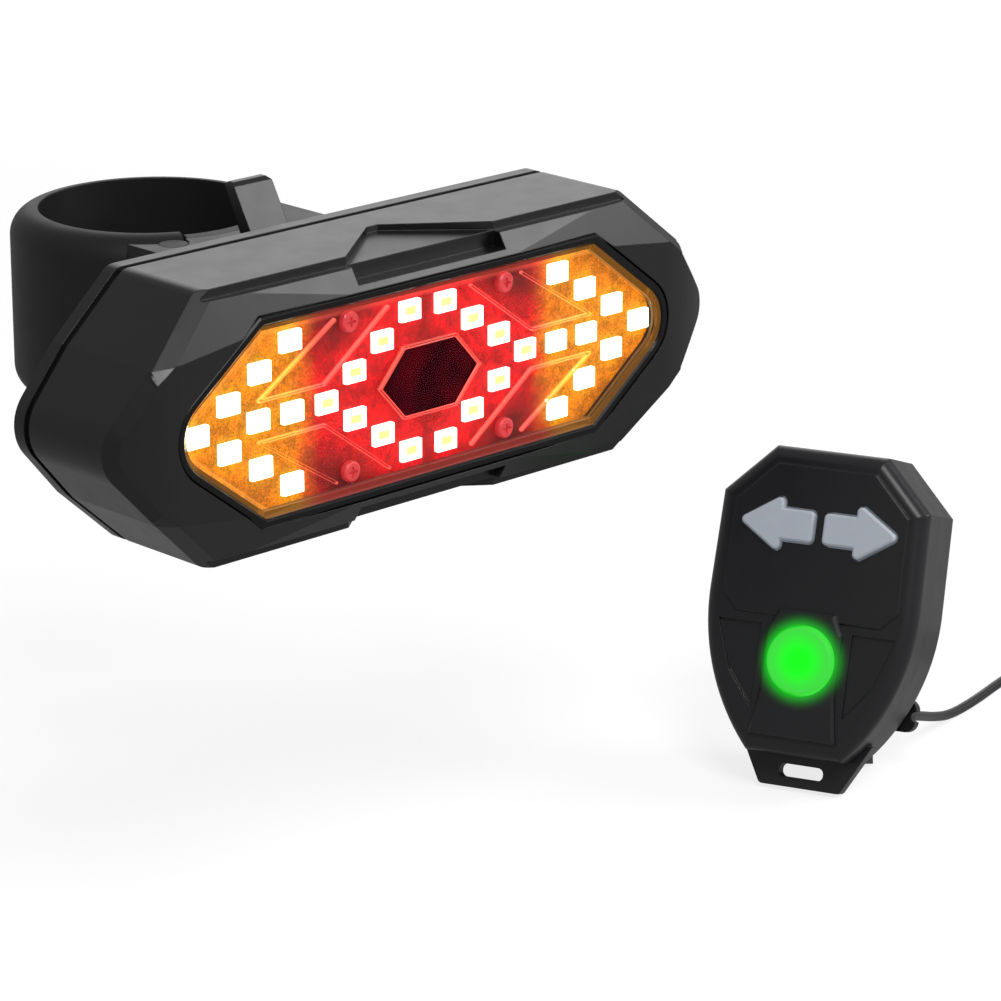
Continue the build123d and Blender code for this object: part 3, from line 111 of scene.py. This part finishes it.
# Mounting cord: out of the right ear, along the floor and back in one open curl
CORD_DIAMETER = 1.5 * MM
CORD_ROUTE = [
    (93.053, -62.679, -71.391), (99.973, -59.742, -74.127), (106.4, -56.8, -76.8),
    (113.0, -54.6, -78.9), (121.3, -52.7, -79.25), (130.7, -50.1, -79.25),
    (136.6, -48.9, -79.25), (141.1, -49.7, -79.25), (144.6, -52.4, -79.25),
    (146.2, -56.5, -79.25), (145.6, -60.9, -79.25), (142.9, -64.4, -79.25),
    (138.8, -66.0, -79.25), (134.7, -65.3, -79.25), (131.7, -62.6, -79.25),
    (130.8, -58.9, -79.1), (132.1, -55.6, -78.75), (135.1, -53.7, -78.65),
]


def make_cord():
    curve = bpy.data.curves.new("elastic_cord", "CURVE")
    curve.dimensions = "3D"
    # A bevel of 1, which each point's radius brings down to the cord's
    curve.bevel_depth = 1.0
    curve.bevel_resolution = 6
    curve.use_fill_caps = True
    spline = curve.splines.new("NURBS")
    spline.resolution_u = 16
    spline.points.add(len(CORD_ROUTE) - 1)
    for point, place in zip(spline.points, CORD_ROUTE):
        point.co = (*(value * MM for value in place), 1)
        point.radius = CORD_DIAMETER / 2
    spline.order_u = 3
    spline.use_endpoint_u = True
    cord = add_object("elastic_cord", curve)
    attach(cord, CARRIER)
    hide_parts("mounting_cord")
    return cord


cord = make_cord()

# Places on the lamp's face, from its middle
RING_HALF_WIDTH = 18.0 * MM
RING_HALF_HEIGHT = 9.6 * MM
RING_CORNER = 3.2 * MM
RING_STEPS = 3
SHAFT_PLACES = (23.9 * MM, 29.7 * MM)
ARROW_TIP = 39.9 * MM
ARROW_STEP_ALONG = 5.26 * MM
ARROW_STEP_UP = 3.2 * MM
BOARD_FRONT = -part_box("red_leds")[1][1]
WINDOW_TIP = 9.2 * MM
WINDOW_CORNER = (4.75 * MM, 5.0 * MM)
LENS_TIP = 46.6 * MM
LENS_TIP_ROUND = 5.5 * MM
LENS_CORNER = (29.8 * MM, 12.9 * MM)


def ring_places():
    """The ring's lamps in the quarter where both coordinates are positive."""
    places = [(RING_HALF_WIDTH, 0.0)]
    for step in range(RING_STEPS):
        along = RING_CORNER + (RING_HALF_WIDTH - RING_CORNER) * step / RING_STEPS
        places.append((along, RING_HALF_HEIGHT * (1 - step / RING_STEPS)))
    return places


def arrow_places():
    """An arrow's lamps in the same quarter."""
    places = [(along, 0.0) for along in (*SHAFT_PLACES, ARROW_TIP)]
    for step in range(1, RING_STEPS + 1):
        places.append((ARROW_TIP - ARROW_STEP_ALONG * step, ARROW_STEP_UP * step))
    return places


def mirrored_places(quarter, sides):
    """Every lamp that a quarter's places stand for, on the given sides."""
    places = []
    for along, up in quarter:
        for side in sides:
            places.append((side * along, up))
            if up:
                places.append((side * along, -up))
    return places


# The remote's own axes, up and out of its face, and its round key
REMOTE_TURN = math.radians(-67)
REMOTE_LEAN = math.radians(20)
REMOTE_ORIGIN = Vector((77.0, -57.0, -50.927)) * MM
ROUND_KEY_UP = -8.6 * MM
ROUND_KEY_RADIUS = 5.0 * MM
KEY_RISE = 0.9 * MM
remote_ahead = Vector((math.sin(REMOTE_TURN), -math.cos(REMOTE_TURN), 0))
remote_out = remote_ahead * math.cos(REMOTE_LEAN) + Vector((0, 0, math.sin(REMOTE_LEAN)))
remote_up = Vector((0, 0, math.cos(REMOTE_LEAN))) - remote_ahead * math.sin(REMOTE_LEAN)
round_key_place = REMOTE_ORIGIN + remote_up * ROUND_KEY_UP + remote_out * KEY_RISE


class Finish:
    """One procedural material, built up round its Principled shader."""

    def __init__(self, name, colour, roughness, **sockets):
        self.material = bpy.data.materials.new(name)
        self.material.use_nodes = True
        self.tree = self.material.node_tree
        self.shader = self.tree.nodes["Principled BSDF"]
        self.colour((*colour, 1))
        self.roughness(roughness)
        for socket, value in sockets.items():
            self.put(self.shader.inputs[socket.replace("_", " ")], value)

    def put(self, socket, value):
        """Joins another node's output to a socket, or sets the socket's own value."""
        if isinstance(value, bpy.types.NodeSocket):
            self.tree.links.new(value, socket)
        else:
            socket.default_value = value

    def colour(self, value):
        self.put(self.shader.inputs["Base Color"], value)

    def roughness(self, value):
        self.put(self.shader.inputs["Roughness"], value)

    def glow(self, colour, strength):
        self.put(self.shader.inputs["Emission Color"], colour)
        self.put(self.shader.inputs["Emission Strength"], strength)

    def node(self, kind, *values, **settings):
        node = self.tree.nodes.new("ShaderNode" + kind)
        for name, setting in settings.items():
            setattr(node, name, setting)
        for socket, value in zip(node.inputs, values):
            if value is not None:
                self.put(socket, value)
        return node

    def point(self, stretch=(1, 1, 1)):
        """The place on the piece, in millimetres."""
        place = self.node("TexCoord").outputs["Object"]
        scale = tuple(factor / MM for factor in stretch)
        return self.node("Mapping", place, None, None, scale).outputs[0]

    def away(self, centre):
        """How far a place on the piece is from a centre, in millimetres."""
        centre = tuple(value / MM for value in centre)
        return self.node("VectorMath", self.point(), centre, operation="DISTANCE").outputs["Value"]

    def noise(self, size, detail=3.0, point=None, roughness=0.5):
        """Cloudy variation from 0 to 1, with patches of about that size in millimetres."""
        node = self.node("TexNoise")
        self.put(node.inputs["Vector"], point or self.point())
        self.put(node.inputs["Scale"], 1 / size)
        self.put(node.inputs["Detail"], detail)
        self.put(node.inputs["Roughness"], roughness)
        return node.outputs["Fac"]

    def maths(self, operation, *values, clamp=False):
        return self.node("Math", *values, operation=operation, use_clamp=clamp).outputs[0]

    def times(self, *values, clamp=False):
        return self.maths("MULTIPLY", *values, clamp=clamp)

    def plus(self, *values):
        return self.maths("ADD", *values)

    def minus(self, *values):
        return self.maths("SUBTRACT", *values)

    def ramp(self, value, start, end, low=0.0, high=1.0):
        """Smoothly from low to high as the value goes from start to end."""
        node = self.node("MapRange", value, start, end, low, high, interpolation_type="SMOOTHSTEP")
        return node.outputs[0]

    def fade(self, value, start, end):
        """Smoothly from 1 to 0 as the value goes from start to end."""
        return self.ramp(value, start, end, 1.0, 0.0)

    def mix(self, share, first, second):
        """The first colour, turning into the second as the share goes from 0 to 1."""
        node = self.node("Mix", data_type="RGBA")
        self.put(node.inputs[0], share)
        for socket, colour in ((node.inputs[6], first), (node.inputs[7], second)):
            self.put(socket, colour if isinstance(colour, bpy.types.NodeSocket) else (*colour, 1))
        return node.outputs[2]

    def bump(self, height, depth, radius=0.0):
        """Relief of that depth in millimetres, over edges softened by a radius."""
        node = self.node("Bump")
        self.put(node.inputs["Height"], height)
        self.put(node.inputs["Distance"], depth * MM)
        if radius:
            edge = self.node("Bevel", radius * MM, samples=4)
            self.put(node.inputs["Normal"], edge.outputs[0])
        self.put(self.shader.inputs["Normal"], node.outputs[0])

    def dress(self, *pieces):
        """Gives the finish to CAD nodes, by name, and to new pieces."""
        for piece in pieces:
            piece = NODES[piece] if isinstance(piece, str) else piece
            if piece.material_slots:
                for slot in piece.material_slots:
                    slot.material = self.material
            else:
                piece.data.materials.append(self.material)


def scaled(colour, factor):
    return tuple(value * factor for value in colour)


CLOUD_SIZE = 9.0
CLOUD_CONTRAST = 0.08
RUB_SIZE = 4.0
RUB_CONTRAST = 0.02


def moulded(name, colour, roughness, grain, depth, gloss, edge=0.2):
    """Moulded plastic or rubber: a fine even grain, and clouds in its colour and gloss."""
    finish = Finish(name, colour, roughness, Specular_IOR_Level=gloss)
    darker = scaled(colour, 1 - CLOUD_CONTRAST)
    lighter = scaled(colour, 1 + CLOUD_CONTRAST)
    finish.colour(finish.mix(finish.noise(CLOUD_SIZE, 2.0), darker, lighter))
    rubs = finish.noise(RUB_SIZE, 4.0)
    finish.roughness(
        finish.ramp(rubs, 0.3, 0.7, roughness - RUB_CONTRAST, roughness + RUB_CONTRAST)
    )
    finish.bump(finish.noise(grain, 2.0), depth, edge)
    return finish


def metal(name, colour, roughness, grain, stretch=(1, 1, 1)):
    """Plated or brushed metal, with fine marks along its unstretched way."""
    finish = Finish(name, colour, roughness, Metallic=1.0)
    marks = finish.noise(grain, 3.0, finish.point(stretch))
    finish.roughness(finish.ramp(marks, 0.3, 0.7, roughness - 0.08, roughness + 0.1))
    finish.bump(marks, 0.01)
    return finish


VIA_COLOUR = (0.5, 0.4, 0.18)
VIAS_PER_MM = 0.45
VIA_SHARE, VIA_RIM_SHARE = 0.12, 0.16
TRACK_SIZE = 3.0


def board_finish(name, colour):
    """Soldermask with rows of small plated vias and faint tracks beneath it."""
    finish = Finish(name, colour, 0.32, Coat_Weight=0.4, Coat_Roughness=0.15)
    cells = finish.node("TexVoronoi", feature="F1")
    finish.put(cells.inputs["Vector"], finish.point())
    finish.put(cells.inputs["Scale"], VIAS_PER_MM)
    finish.put(cells.inputs["Randomness"], 0.35)
    via = finish.fade(cells.outputs["Distance"], VIA_SHARE, VIA_RIM_SHARE)
    tracks = finish.noise(TRACK_SIZE, 1.0, finish.point(stretch=(1, 1, 3)))
    ground = finish.mix(finish.ramp(tracks, 0.49, 0.52), colour, scaled(colour, 1.5))
    finish.colour(finish.mix(via, ground, VIA_COLOUR))
    finish.bump(tracks, 0.02)
    return finish


def folded_point(finish):
    """The place on the lamp's face in millimetres, folded into one quarter: along, up."""
    parts = finish.node("SeparateXYZ", finish.point()).outputs
    return finish.maths("ABSOLUTE", parts["X"]), finish.maths("ABSOLUTE", parts["Z"])


def nearness(finish, along, up, places, reach):
    """Light gathered from lamps at these places, each fading out over the reach."""
    here = finish.node("CombineXYZ", along, 0.0, up).outputs[0]
    total = 0.0
    for place in places:
        lamp = (place[0] / MM, 0, place[1] / MM)
        away = finish.node("VectorMath", here, lamp, operation="DISTANCE").outputs["Value"]
        total = finish.plus(finish.fade(away, 0.0, reach), total)
    return total


def edge_distance(finish, tip, corner, tip_round=0.0):
    """How far inside a six-sided outline a place is, in millimetres. Its tips may be round."""
    along, up = folded_point(finish)
    run = Vector((tip - corner[0], corner[1])).normalized()
    slant = finish.plus(finish.times(along, run.y), finish.times(up, run.x))
    inside = finish.minus(tip / MM * run.y, slant)
    if tip_round:
        centre = (tip - tip_round / run.y) / MM
        here = finish.node("CombineXYZ", finish.minus(along, centre), up, 0.0).outputs[0]
        away = finish.node("VectorMath", here, operation="LENGTH").outputs["Value"]
        arc = finish.minus(tip_round / MM, away)
        # The arc counts from the place where it leaves the straight side
        before = finish.node("VectorMath", here, (-run.x, run.y, 0), operation="DOT_PRODUCT")
        straight = finish.times(before.outputs["Value"], 10.0)
        inside = finish.maths("MINIMUM", inside, finish.maths("MAXIMUM", arc, straight))
    return finish.maths("MINIMUM", inside, finish.minus(corner[1] / MM, up))


# Painted light on the light board: glow and hot spots round the lamps, painted shade between them
RED_GLOW = (0.80, 0.001, 0.004)
RED_SHADE = (0.10, 0.001, 0.001)
RED_HOT = (0.95, 0.004, 0.008)
AMBER_GLOW = (0.86, 0.22, 0.0)
AMBER_SHADE = (0.085, 0.026, 0.006)
AMBER_HOT = (1.0, 0.48, 0.0)
AMBER_START, AMBER_FULL = 21.0, 27.0
AMBER_WOBBLE = 5.0
GLOW_REACH = 9.0
HOT_REACH = 4.2
GLOW_SPECK_SIZE = 0.35
GLOW_MOTTLE_SIZE = 2.2


def lit_board():
    """The light board, with its lamps' light painted on it as glow: red in its middle and amber in
    its ends, brightest round each lamp, with painted shade between them.
    """
    finish = Finish("lit_board", (0.01, 0.003, 0.002), 0.45, Specular_IOR_Level=0.1)
    along, up = folded_point(finish)
    wobble = finish.times(finish.noise(3.0, 3.0), AMBER_WOBBLE)
    amber = finish.ramp(finish.plus(along, wobble), AMBER_START, AMBER_FULL)
    every = ring_places() + arrow_places()
    near = finish.times(nearness(finish, along, up, every, GLOW_REACH), 0.9, clamp=True)
    hot = finish.maths("POWER", nearness(finish, along, up, every, HOT_REACH), 1.5, clamp=True)
    red_glow = finish.mix(near, RED_SHADE, RED_GLOW)
    amber_glow = finish.mix(near, AMBER_SHADE, AMBER_GLOW)
    glow = finish.mix(amber, red_glow, amber_glow)
    glow = finish.mix(hot, glow, finish.mix(amber, RED_HOT, AMBER_HOT))
    # Fine specks and mottles in the painted glow
    glow_specks = finish.ramp(finish.noise(GLOW_SPECK_SIZE, 4.0, roughness=0.8), 0.3, 0.7, 0.55, 1.45)
    glow_mottles = finish.noise(GLOW_MOTTLE_SIZE, 4.0, roughness=0.65)
    finish.glow(glow, finish.times(glow_specks, finish.ramp(glow_mottles, 0.35, 0.6, 0.72, 1.15)))
    finish.bump(finish.noise(0.5, 3.0), 0.05)
    return finish


# Painted light on the lens: glow on its rib walls, along its border and in a thin light line
LENS_RED = (1.0, 0.11, 0.08)
LENS_AMBER = (1.0, 0.40, 0.06)
LENS_AMBER_START, LENS_AMBER_FULL = 19.0, 25.0
LENS_RIM = 1.0
LENS_BORDER = 1.2
LENS_LINE = 0.15
BORDER_SOFTNESS = 0.2
BORDER_GLOW = 0.16
RIB_GLOW = 0.85


def clear_lens():
    """Clear plastic that lets light through, with painted glow on its ribs and a faint painted
    glow and light line round its border.
    """
    finish = Finish("clear_lens", (1.0, 1.0, 1.0), 0.03, Transmission_Weight=1.0, IOR=1.1)
    along, _ = folded_point(finish)
    inside = edge_distance(finish, LENS_TIP, LENS_CORNER, LENS_TIP_ROUND)
    amber = finish.ramp(along, LENS_AMBER_START, LENS_AMBER_FULL)
    normal = finish.node("TexCoord").outputs["Normal"]
    facing = finish.maths("ABSOLUTE", finish.node("SeparateXYZ", normal).outputs["Y"])
    wall = finish.fade(facing, 0.3, 0.8)
    ribs = finish.times(wall, finish.ramp(inside, LENS_RIM - 2 * BORDER_SOFTNESS, LENS_RIM))
    border = finish.fade(inside, LENS_BORDER - BORDER_SOFTNESS, LENS_BORDER + BORDER_SOFTNESS)
    from_line = finish.maths("ABSOLUTE", finish.minus(inside, LENS_BORDER))
    line = finish.times(finish.fade(from_line, 0.0, LENS_LINE), amber)
    lit = finish.times(finish.plus(border, line), finish.minus(1.0, wall))
    strength = finish.plus(finish.times(lit, BORDER_GLOW), finish.times(ribs, RIB_GLOW))
    finish.glow(finish.mix(amber, LENS_RED, LENS_AMBER), strength)
    finish.bump(finish.noise(5.0, 2.0), 0.02)
    # No shadow from the lens on the board
    see_through = finish.node("BsdfTransparent")
    shadow = finish.node("LightPath").outputs["Is Shadow Ray"]
    mixed = finish.node("MixShader", shadow, finish.shader.outputs[0], see_through.outputs[0])
    finish.put(finish.tree.nodes["Material Output"].inputs["Surface"], mixed.outputs[0])
    return finish


def centre_window():
    """Deep red translucent plate, with the light behind it painted on as a dim red glow and a
    painted bright rim.
    """
    finish = Finish("window_red", (0.0, 0.0, 0.0), 0.4, Specular_IOR_Level=0.0)
    # Painted highlight: a bright rim round the window's edge
    rim = finish.fade(edge_distance(finish, WINDOW_TIP, WINDOW_CORNER), 0.05, 0.3)
    glow_clouds = finish.ramp(finish.noise(4.0, 2.0), 0.3, 0.8)
    glow = finish.mix(glow_clouds, (0.02, 0.0, 0.001), (0.07, 0.0, 0.002))
    finish.glow(finish.mix(rim, glow, (1.0, 0.6, 0.45)), 1.0)
    return finish


def lit_screw():
    """A screw between the lamps, with their red light painted on it as a glow."""
    finish = Finish("lit_screw", (0.2, 0.01, 0.01), 0.4, Specular_IOR_Level=0.3)
    glow = finish.mix(finish.noise(0.8, 3.0), (0.25, 0.002, 0.004), (0.6, 0.03, 0.04))
    finish.glow(glow, 0.8)
    return finish


def key_finish():
    """Pale translucent silicone rubber, lightened evenly by a faint painted glow."""
    finish = Finish(
        "key_rubber", (0.50, 0.54, 0.60), 0.42,
        Subsurface_Weight=0.35, Subsurface_Scale=0.6 * MM, Specular_IOR_Level=0.25,
    )
    finish.colour(finish.mix(finish.noise(3.0, 2.0), (0.48, 0.52, 0.58), (0.52, 0.56, 0.62)))
    # Painted light: a faint even glow that lightens the keys
    finish.glow((0.09, 0.10, 0.115, 1), 1.0)
    finish.bump(finish.noise(0.12, 2.0), 0.01, 0.15)
    return finish


SPILL_START, SPILL_END = 4.4, 8.5


def round_key_finish():
    """The round key: lit green from behind, strongest in its middle."""
    finish = Finish("round_key_green", (0.02, 0.2, 0.03), 0.35, Specular_IOR_Level=0.15)
    rim = finish.ramp(finish.away(round_key_place), 1.5, ROUND_KEY_RADIUS / MM)
    finish.glow(finish.mix(rim, (0.0, 0.96, 0.0), (0.045, 0.62, 0.045)), 1.0)
    return finish


def remote_shell_finish():
    """The remote's satin shell, with the key's green light painted round it as a glow."""
    finish = moulded("remote_shell", (0.013, 0.0132, 0.0155), 0.33, 0.16, 0.006, 0.42, 0.3)
    # Painted light: the round key's green glow on the shell, fading out with distance from the key
    lit = finish.fade(finish.away(round_key_place), SPILL_START, SPILL_END)
    finish.glow((0.0, 0.6, 0.01, 1), finish.maths("POWER", lit, 3.0))
    return finish


def foil_finish():
    """The battery's crinkled foil pouch."""
    finish = Finish("battery_foil", (0.62, 0.64, 0.68), 0.3, Metallic=0.9)
    finish.bump(finish.noise(2.5, 5.0), 0.12)
    return finish


def lit_plastic(name, colour, roughness, glow, strength):
    """A lamp's own plastic, which glows evenly."""
    finish = Finish(name, colour, roughness)
    finish.glow((*glow, 1), strength)
    return finish


def dress_nodes():
    """Each CAD node gets the finish of the real piece."""
    moulded("lamp_shell", (0.007, 0.007, 0.0073), 0.3, 0.14, 0.005, 0.4).dress(
        "front_housing", "rear_cover", "usb_cover", "power_button", "release_lever"
    )
    moulded("bracket_plastic", (0.008, 0.008, 0.0083), 0.42, 0.2, 0.01, 0.35).dress(
        "bracket", "mount_rail", "bar_saddle", "battery_door"
    )
    moulded("strap_rubber", (0.009, 0.009, 0.0094), 0.5, 0.3, 0.012, 0.32, 0.35).dress(
        "post_strap", "saddle_pad"
    )
    moulded("seal_rubber", (0.004, 0.004, 0.0043), 0.3, 0.4, 0.006, 0.2, 0.1).dress(
        "lens_gasket", "cover_seal", "remote_seal"
    )
    moulded("inner_plastic", (0.05, 0.05, 0.052), 0.5, 0.2, 0.01, 0.4).dress(
        "board_carrier", "cell_holder", "key_switches", "power_switch"
    )
    moulded("cord_jacket", (0.018, 0.018, 0.019), 0.38, 0.25, 0.01, 0.5, 0).dress(
        cord, "cord_toggle"
    )
    moulded("pad_foam", (0.09, 0.09, 0.1), 0.9, 0.4, 0.15, 0.2, 0).dress("battery_pad")
    remote_shell_finish().dress("remote_front_shell", "remote_back_shell")
    metal("screw_steel", (0.42, 0.42, 0.44), 0.3, 0.4).dress(
        "carrier_screws", "control_screws", "rail_screws", "cover_screws",
        "shell_screws", "saddle_screws", "usb_cover_pin",
    )
    metal("pin_steel", (0.55, 0.55, 0.56), 0.25, 0.3, (1, 6, 6)).dress(
        "lever_pin", "lever_spring", "cell_spring"
    )
    metal("cell_nickel", (0.66, 0.66, 0.64), 0.22, 0.5).dress("coin_cell", "usb_socket")
    board_finish("board_green", (0.012, 0.06, 0.025)).dress("control_board", "remote_board")
    board_finish("radio_blue", (0.01, 0.02, 0.09)).dress("radio_module")
    foil_finish().dress("battery")
    lit_board().dress("led_board")
    lit_screw().dress("board_screws")
    clear_lens().dress("lens")
    centre_window().dress("centre_window")
    key_finish().dress("left_arrow_key", "right_arrow_key")
    round_key_finish().dress("round_key")
    lit_plastic("status_green", (0.1, 0.6, 0.15), 0.2, (0.0, 0.9, 0.05), 1.0).dress("status_led")


dress_nodes()

# Lamps on the light board: a white case with a well, and a chip in it
LED_LENGTH = 3.5 * MM
LED_WIDTH = 2.8 * MM
LED_HEIGHT = 0.7 * MM
LED_EDGE = 0.12 * MM
LED_WALL = 0.5 * MM
LED_WELL = 0.2 * MM
CHIP_MARGIN = 0.45 * MM
CHIP_RISE = 0.1 * MM
WELL, CHIP = 1, 2          # material places, after the case's


def front_face(lamp):
    """The largest of the faces that stand highest."""
    return max(
        lamp.faces, key=lambda face: (round(face.calc_center_median().z / MM, 3), face.calc_area())
    )


def one_lamp():
    """One lamp's bmesh, standing on the origin and facing +Z."""
    lamp = bmesh.new()
    size = Matrix.Diagonal((LED_LENGTH, LED_WIDTH, LED_HEIGHT, 1))
    block = Matrix.Translation((0, 0, LED_HEIGHT / 2)) @ size
    bmesh.ops.create_cube(lamp, size=1.0, matrix=block)
    upper = [edge for edge in lamp.edges if any(vert.co.z > LED_HEIGHT / 2 for vert in edge.verts)]
    bmesh.ops.bevel(
        lamp, geom=upper, offset=LED_EDGE, segments=2, profile=0.5, affect="EDGES", material=-1,
        clamp_overlap=True,
    )
    front = front_face(lamp)
    bmesh.ops.inset_region(lamp, faces=[front], thickness=LED_WALL, depth=0)
    bmesh.ops.inset_region(lamp, faces=[front], thickness=LED_EDGE, depth=-LED_WELL)
    front.material_index = WELL
    floor = bmesh.ops.inset_region(lamp, faces=[front], thickness=CHIP_MARGIN, depth=0)
    for face in floor["faces"]:
        face.material_index = WELL
    sides = bmesh.ops.inset_region(lamp, faces=[front], thickness=LED_EDGE / 2, depth=CHIP_RISE)
    for face in [front, *sides["faces"]]:
        face.material_index = CHIP
    return lamp


def lamp_group(name, node, places, finishes):
    """A node's lamps, each on its place on the board and facing ahead."""
    single = bpy.data.meshes.new("one_lamp")
    lamp = one_lamp()
    lamp.to_mesh(single)
    lamp.free()
    group = bmesh.new()
    facing = Matrix.Rotation(math.pi / 2, 4, "X")
    for along, up in places:
        first = len(group.verts)
        group.from_mesh(single)
        group.verts.ensure_lookup_table()
        place = Matrix.Translation((along, -BOARD_FRONT, up)) @ facing
        bmesh.ops.transform(group, matrix=place, verts=group.verts[first:])
    bpy.data.meshes.remove(single)
    piece = add_shape(name, group)
    for finish in finishes:
        piece.data.materials.append(finish.material)
    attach(piece, CARRIER)
    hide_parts(node)


LAMP_ROUGHNESS = 0.4


def lamp_light(name, colour, strength):
    return lit_plastic(name, colour, LAMP_ROUGHNESS, colour, strength)


def make_lamps():
    case = lamp_light("lamp_case_white", (1.0, 0.9, 0.82), 1.7)
    well = lamp_light("lamp_well_cream", (1.0, 0.82, 0.5), 0.95)
    chip = lamp_light("lamp_chip", (0.75, 0.5, 0.12), 0.8)
    places = mirrored_places(ring_places(), (-1, 1))
    lamp_group("ring_lamps", "red_leds", places, (case, well, chip))
    case = lamp_light("lamp_case_blaze", (1.0, 0.93, 0.62), 2.4)
    chip = lamp_light("lamp_chip_blaze", (1.0, 0.97, 0.8), 3.0)
    for side, name in ((-1, "left"), (1, "right")):
        places = mirrored_places(arrow_places(), (side,))
        finishes = (case, chip, chip)
        lamp_group(f"arrow_lamps_{name}", f"amber_leds_{name}", places, finishes)


make_lamps()

# Ground and light
FLOOR_SIZE = 12.0
FLOOR_COLOUR = (0.3, 0.3, 0.3)
NEAR_FLOOR, FAR_FLOOR = 300.0, 1200.0          # millimetres from the lamp
NEAR_FLOOR_LIFT, FAR_FLOOR_LIFT = 0.8, 1.0
WHITE = (1, 1, 1, 1)
WORLD_LIGHT = 0.2
MIRRORED_SHARE = 0.25
KEY_SOFTBOX = {"place": (0.87, -0.83, 0.58), "size": 0.6, "power": 8.0}
FILL_SOFTBOX = {"place": (-0.4, -0.81, 0.99), "size": 0.45, "power": 8.0}
BACK_SOFTBOX = {"place": (0.95, 1.0, 0.5), "size": 1.0, "power": 3.0}


def background_share(tree):
    """How much of the white background a ray shows: all if straight or through glass."""
    rays = tree.nodes.new("ShaderNodeLightPath").outputs
    share = rays["Is Camera Ray"]
    for name, part in (("Is Transmission Ray", 1.0), ("Is Glossy Ray", MIRRORED_SHARE)):
        partly = tree.nodes.new("ShaderNodeMath")
        partly.operation = "MULTIPLY"
        partly.inputs[1].default_value = part
        tree.links.new(rays[name], partly.inputs[0])
        larger = tree.nodes.new("ShaderNodeMath")
        larger.operation = "MAXIMUM"
        tree.links.new(share, larger.inputs[0])
        tree.links.new(partly.outputs[0], larger.inputs[1])
        share = larger.outputs[0]
    return share


def make_floor():
    """A plain pale floor under the remote, white to the camera and keeping its shadows."""
    level = cad_corners[0][2]
    plane = bmesh.new()
    bmesh.ops.create_grid(plane, x_segments=1, y_segments=1, size=FLOOR_SIZE)
    bmesh.ops.translate(plane, verts=plane.verts, vec=(0, 0, level))
    floor = add_shape("floor", plane)
    finish = Finish("floor_white", FLOOR_COLOUR, 0.9, Specular_IOR_Level=0.0)
    away = finish.away((0, 0, 0))
    lift = finish.ramp(away, NEAR_FLOOR, FAR_FLOOR, NEAR_FLOOR_LIFT, FAR_FLOOR_LIFT)
    finish.glow(WHITE, finish.times(background_share(finish.tree), lift))
    finish.dress(floor)


def make_world():
    world = bpy.data.worlds.new("studio")
    world.use_nodes = True
    tree = world.node_tree
    strength = tree.nodes.new("ShaderNodeMapRange")
    strength.inputs["To Min"].default_value = WORLD_LIGHT
    tree.links.new(background_share(tree), strength.inputs["Value"])
    background = tree.nodes["Background"].inputs
    background["Color"].default_value = WHITE
    tree.links.new(strength.outputs[0], background["Strength"])
    bpy.context.scene.world = world


def make_softbox(name, place, size, power):
    """A square softbox that faces the object."""
    data = bpy.data.lights.new(name, "AREA")
    data.size = size
    data.energy = power
    light = add_object(name, data)
    light.location = place
    light.rotation_euler = (-Vector(place)).to_track_quat("-Z", "Y").to_euler()


make_floor()
make_world()
make_softbox("key_softbox", **KEY_SOFTBOX)
make_softbox("fill_softbox", **FILL_SOFTBOX)
make_softbox("back_softbox", **BACK_SOFTBOX)
bpy.context.scene.view_settings.view_transform = "Standard"

bpy.context.view_layer.update()
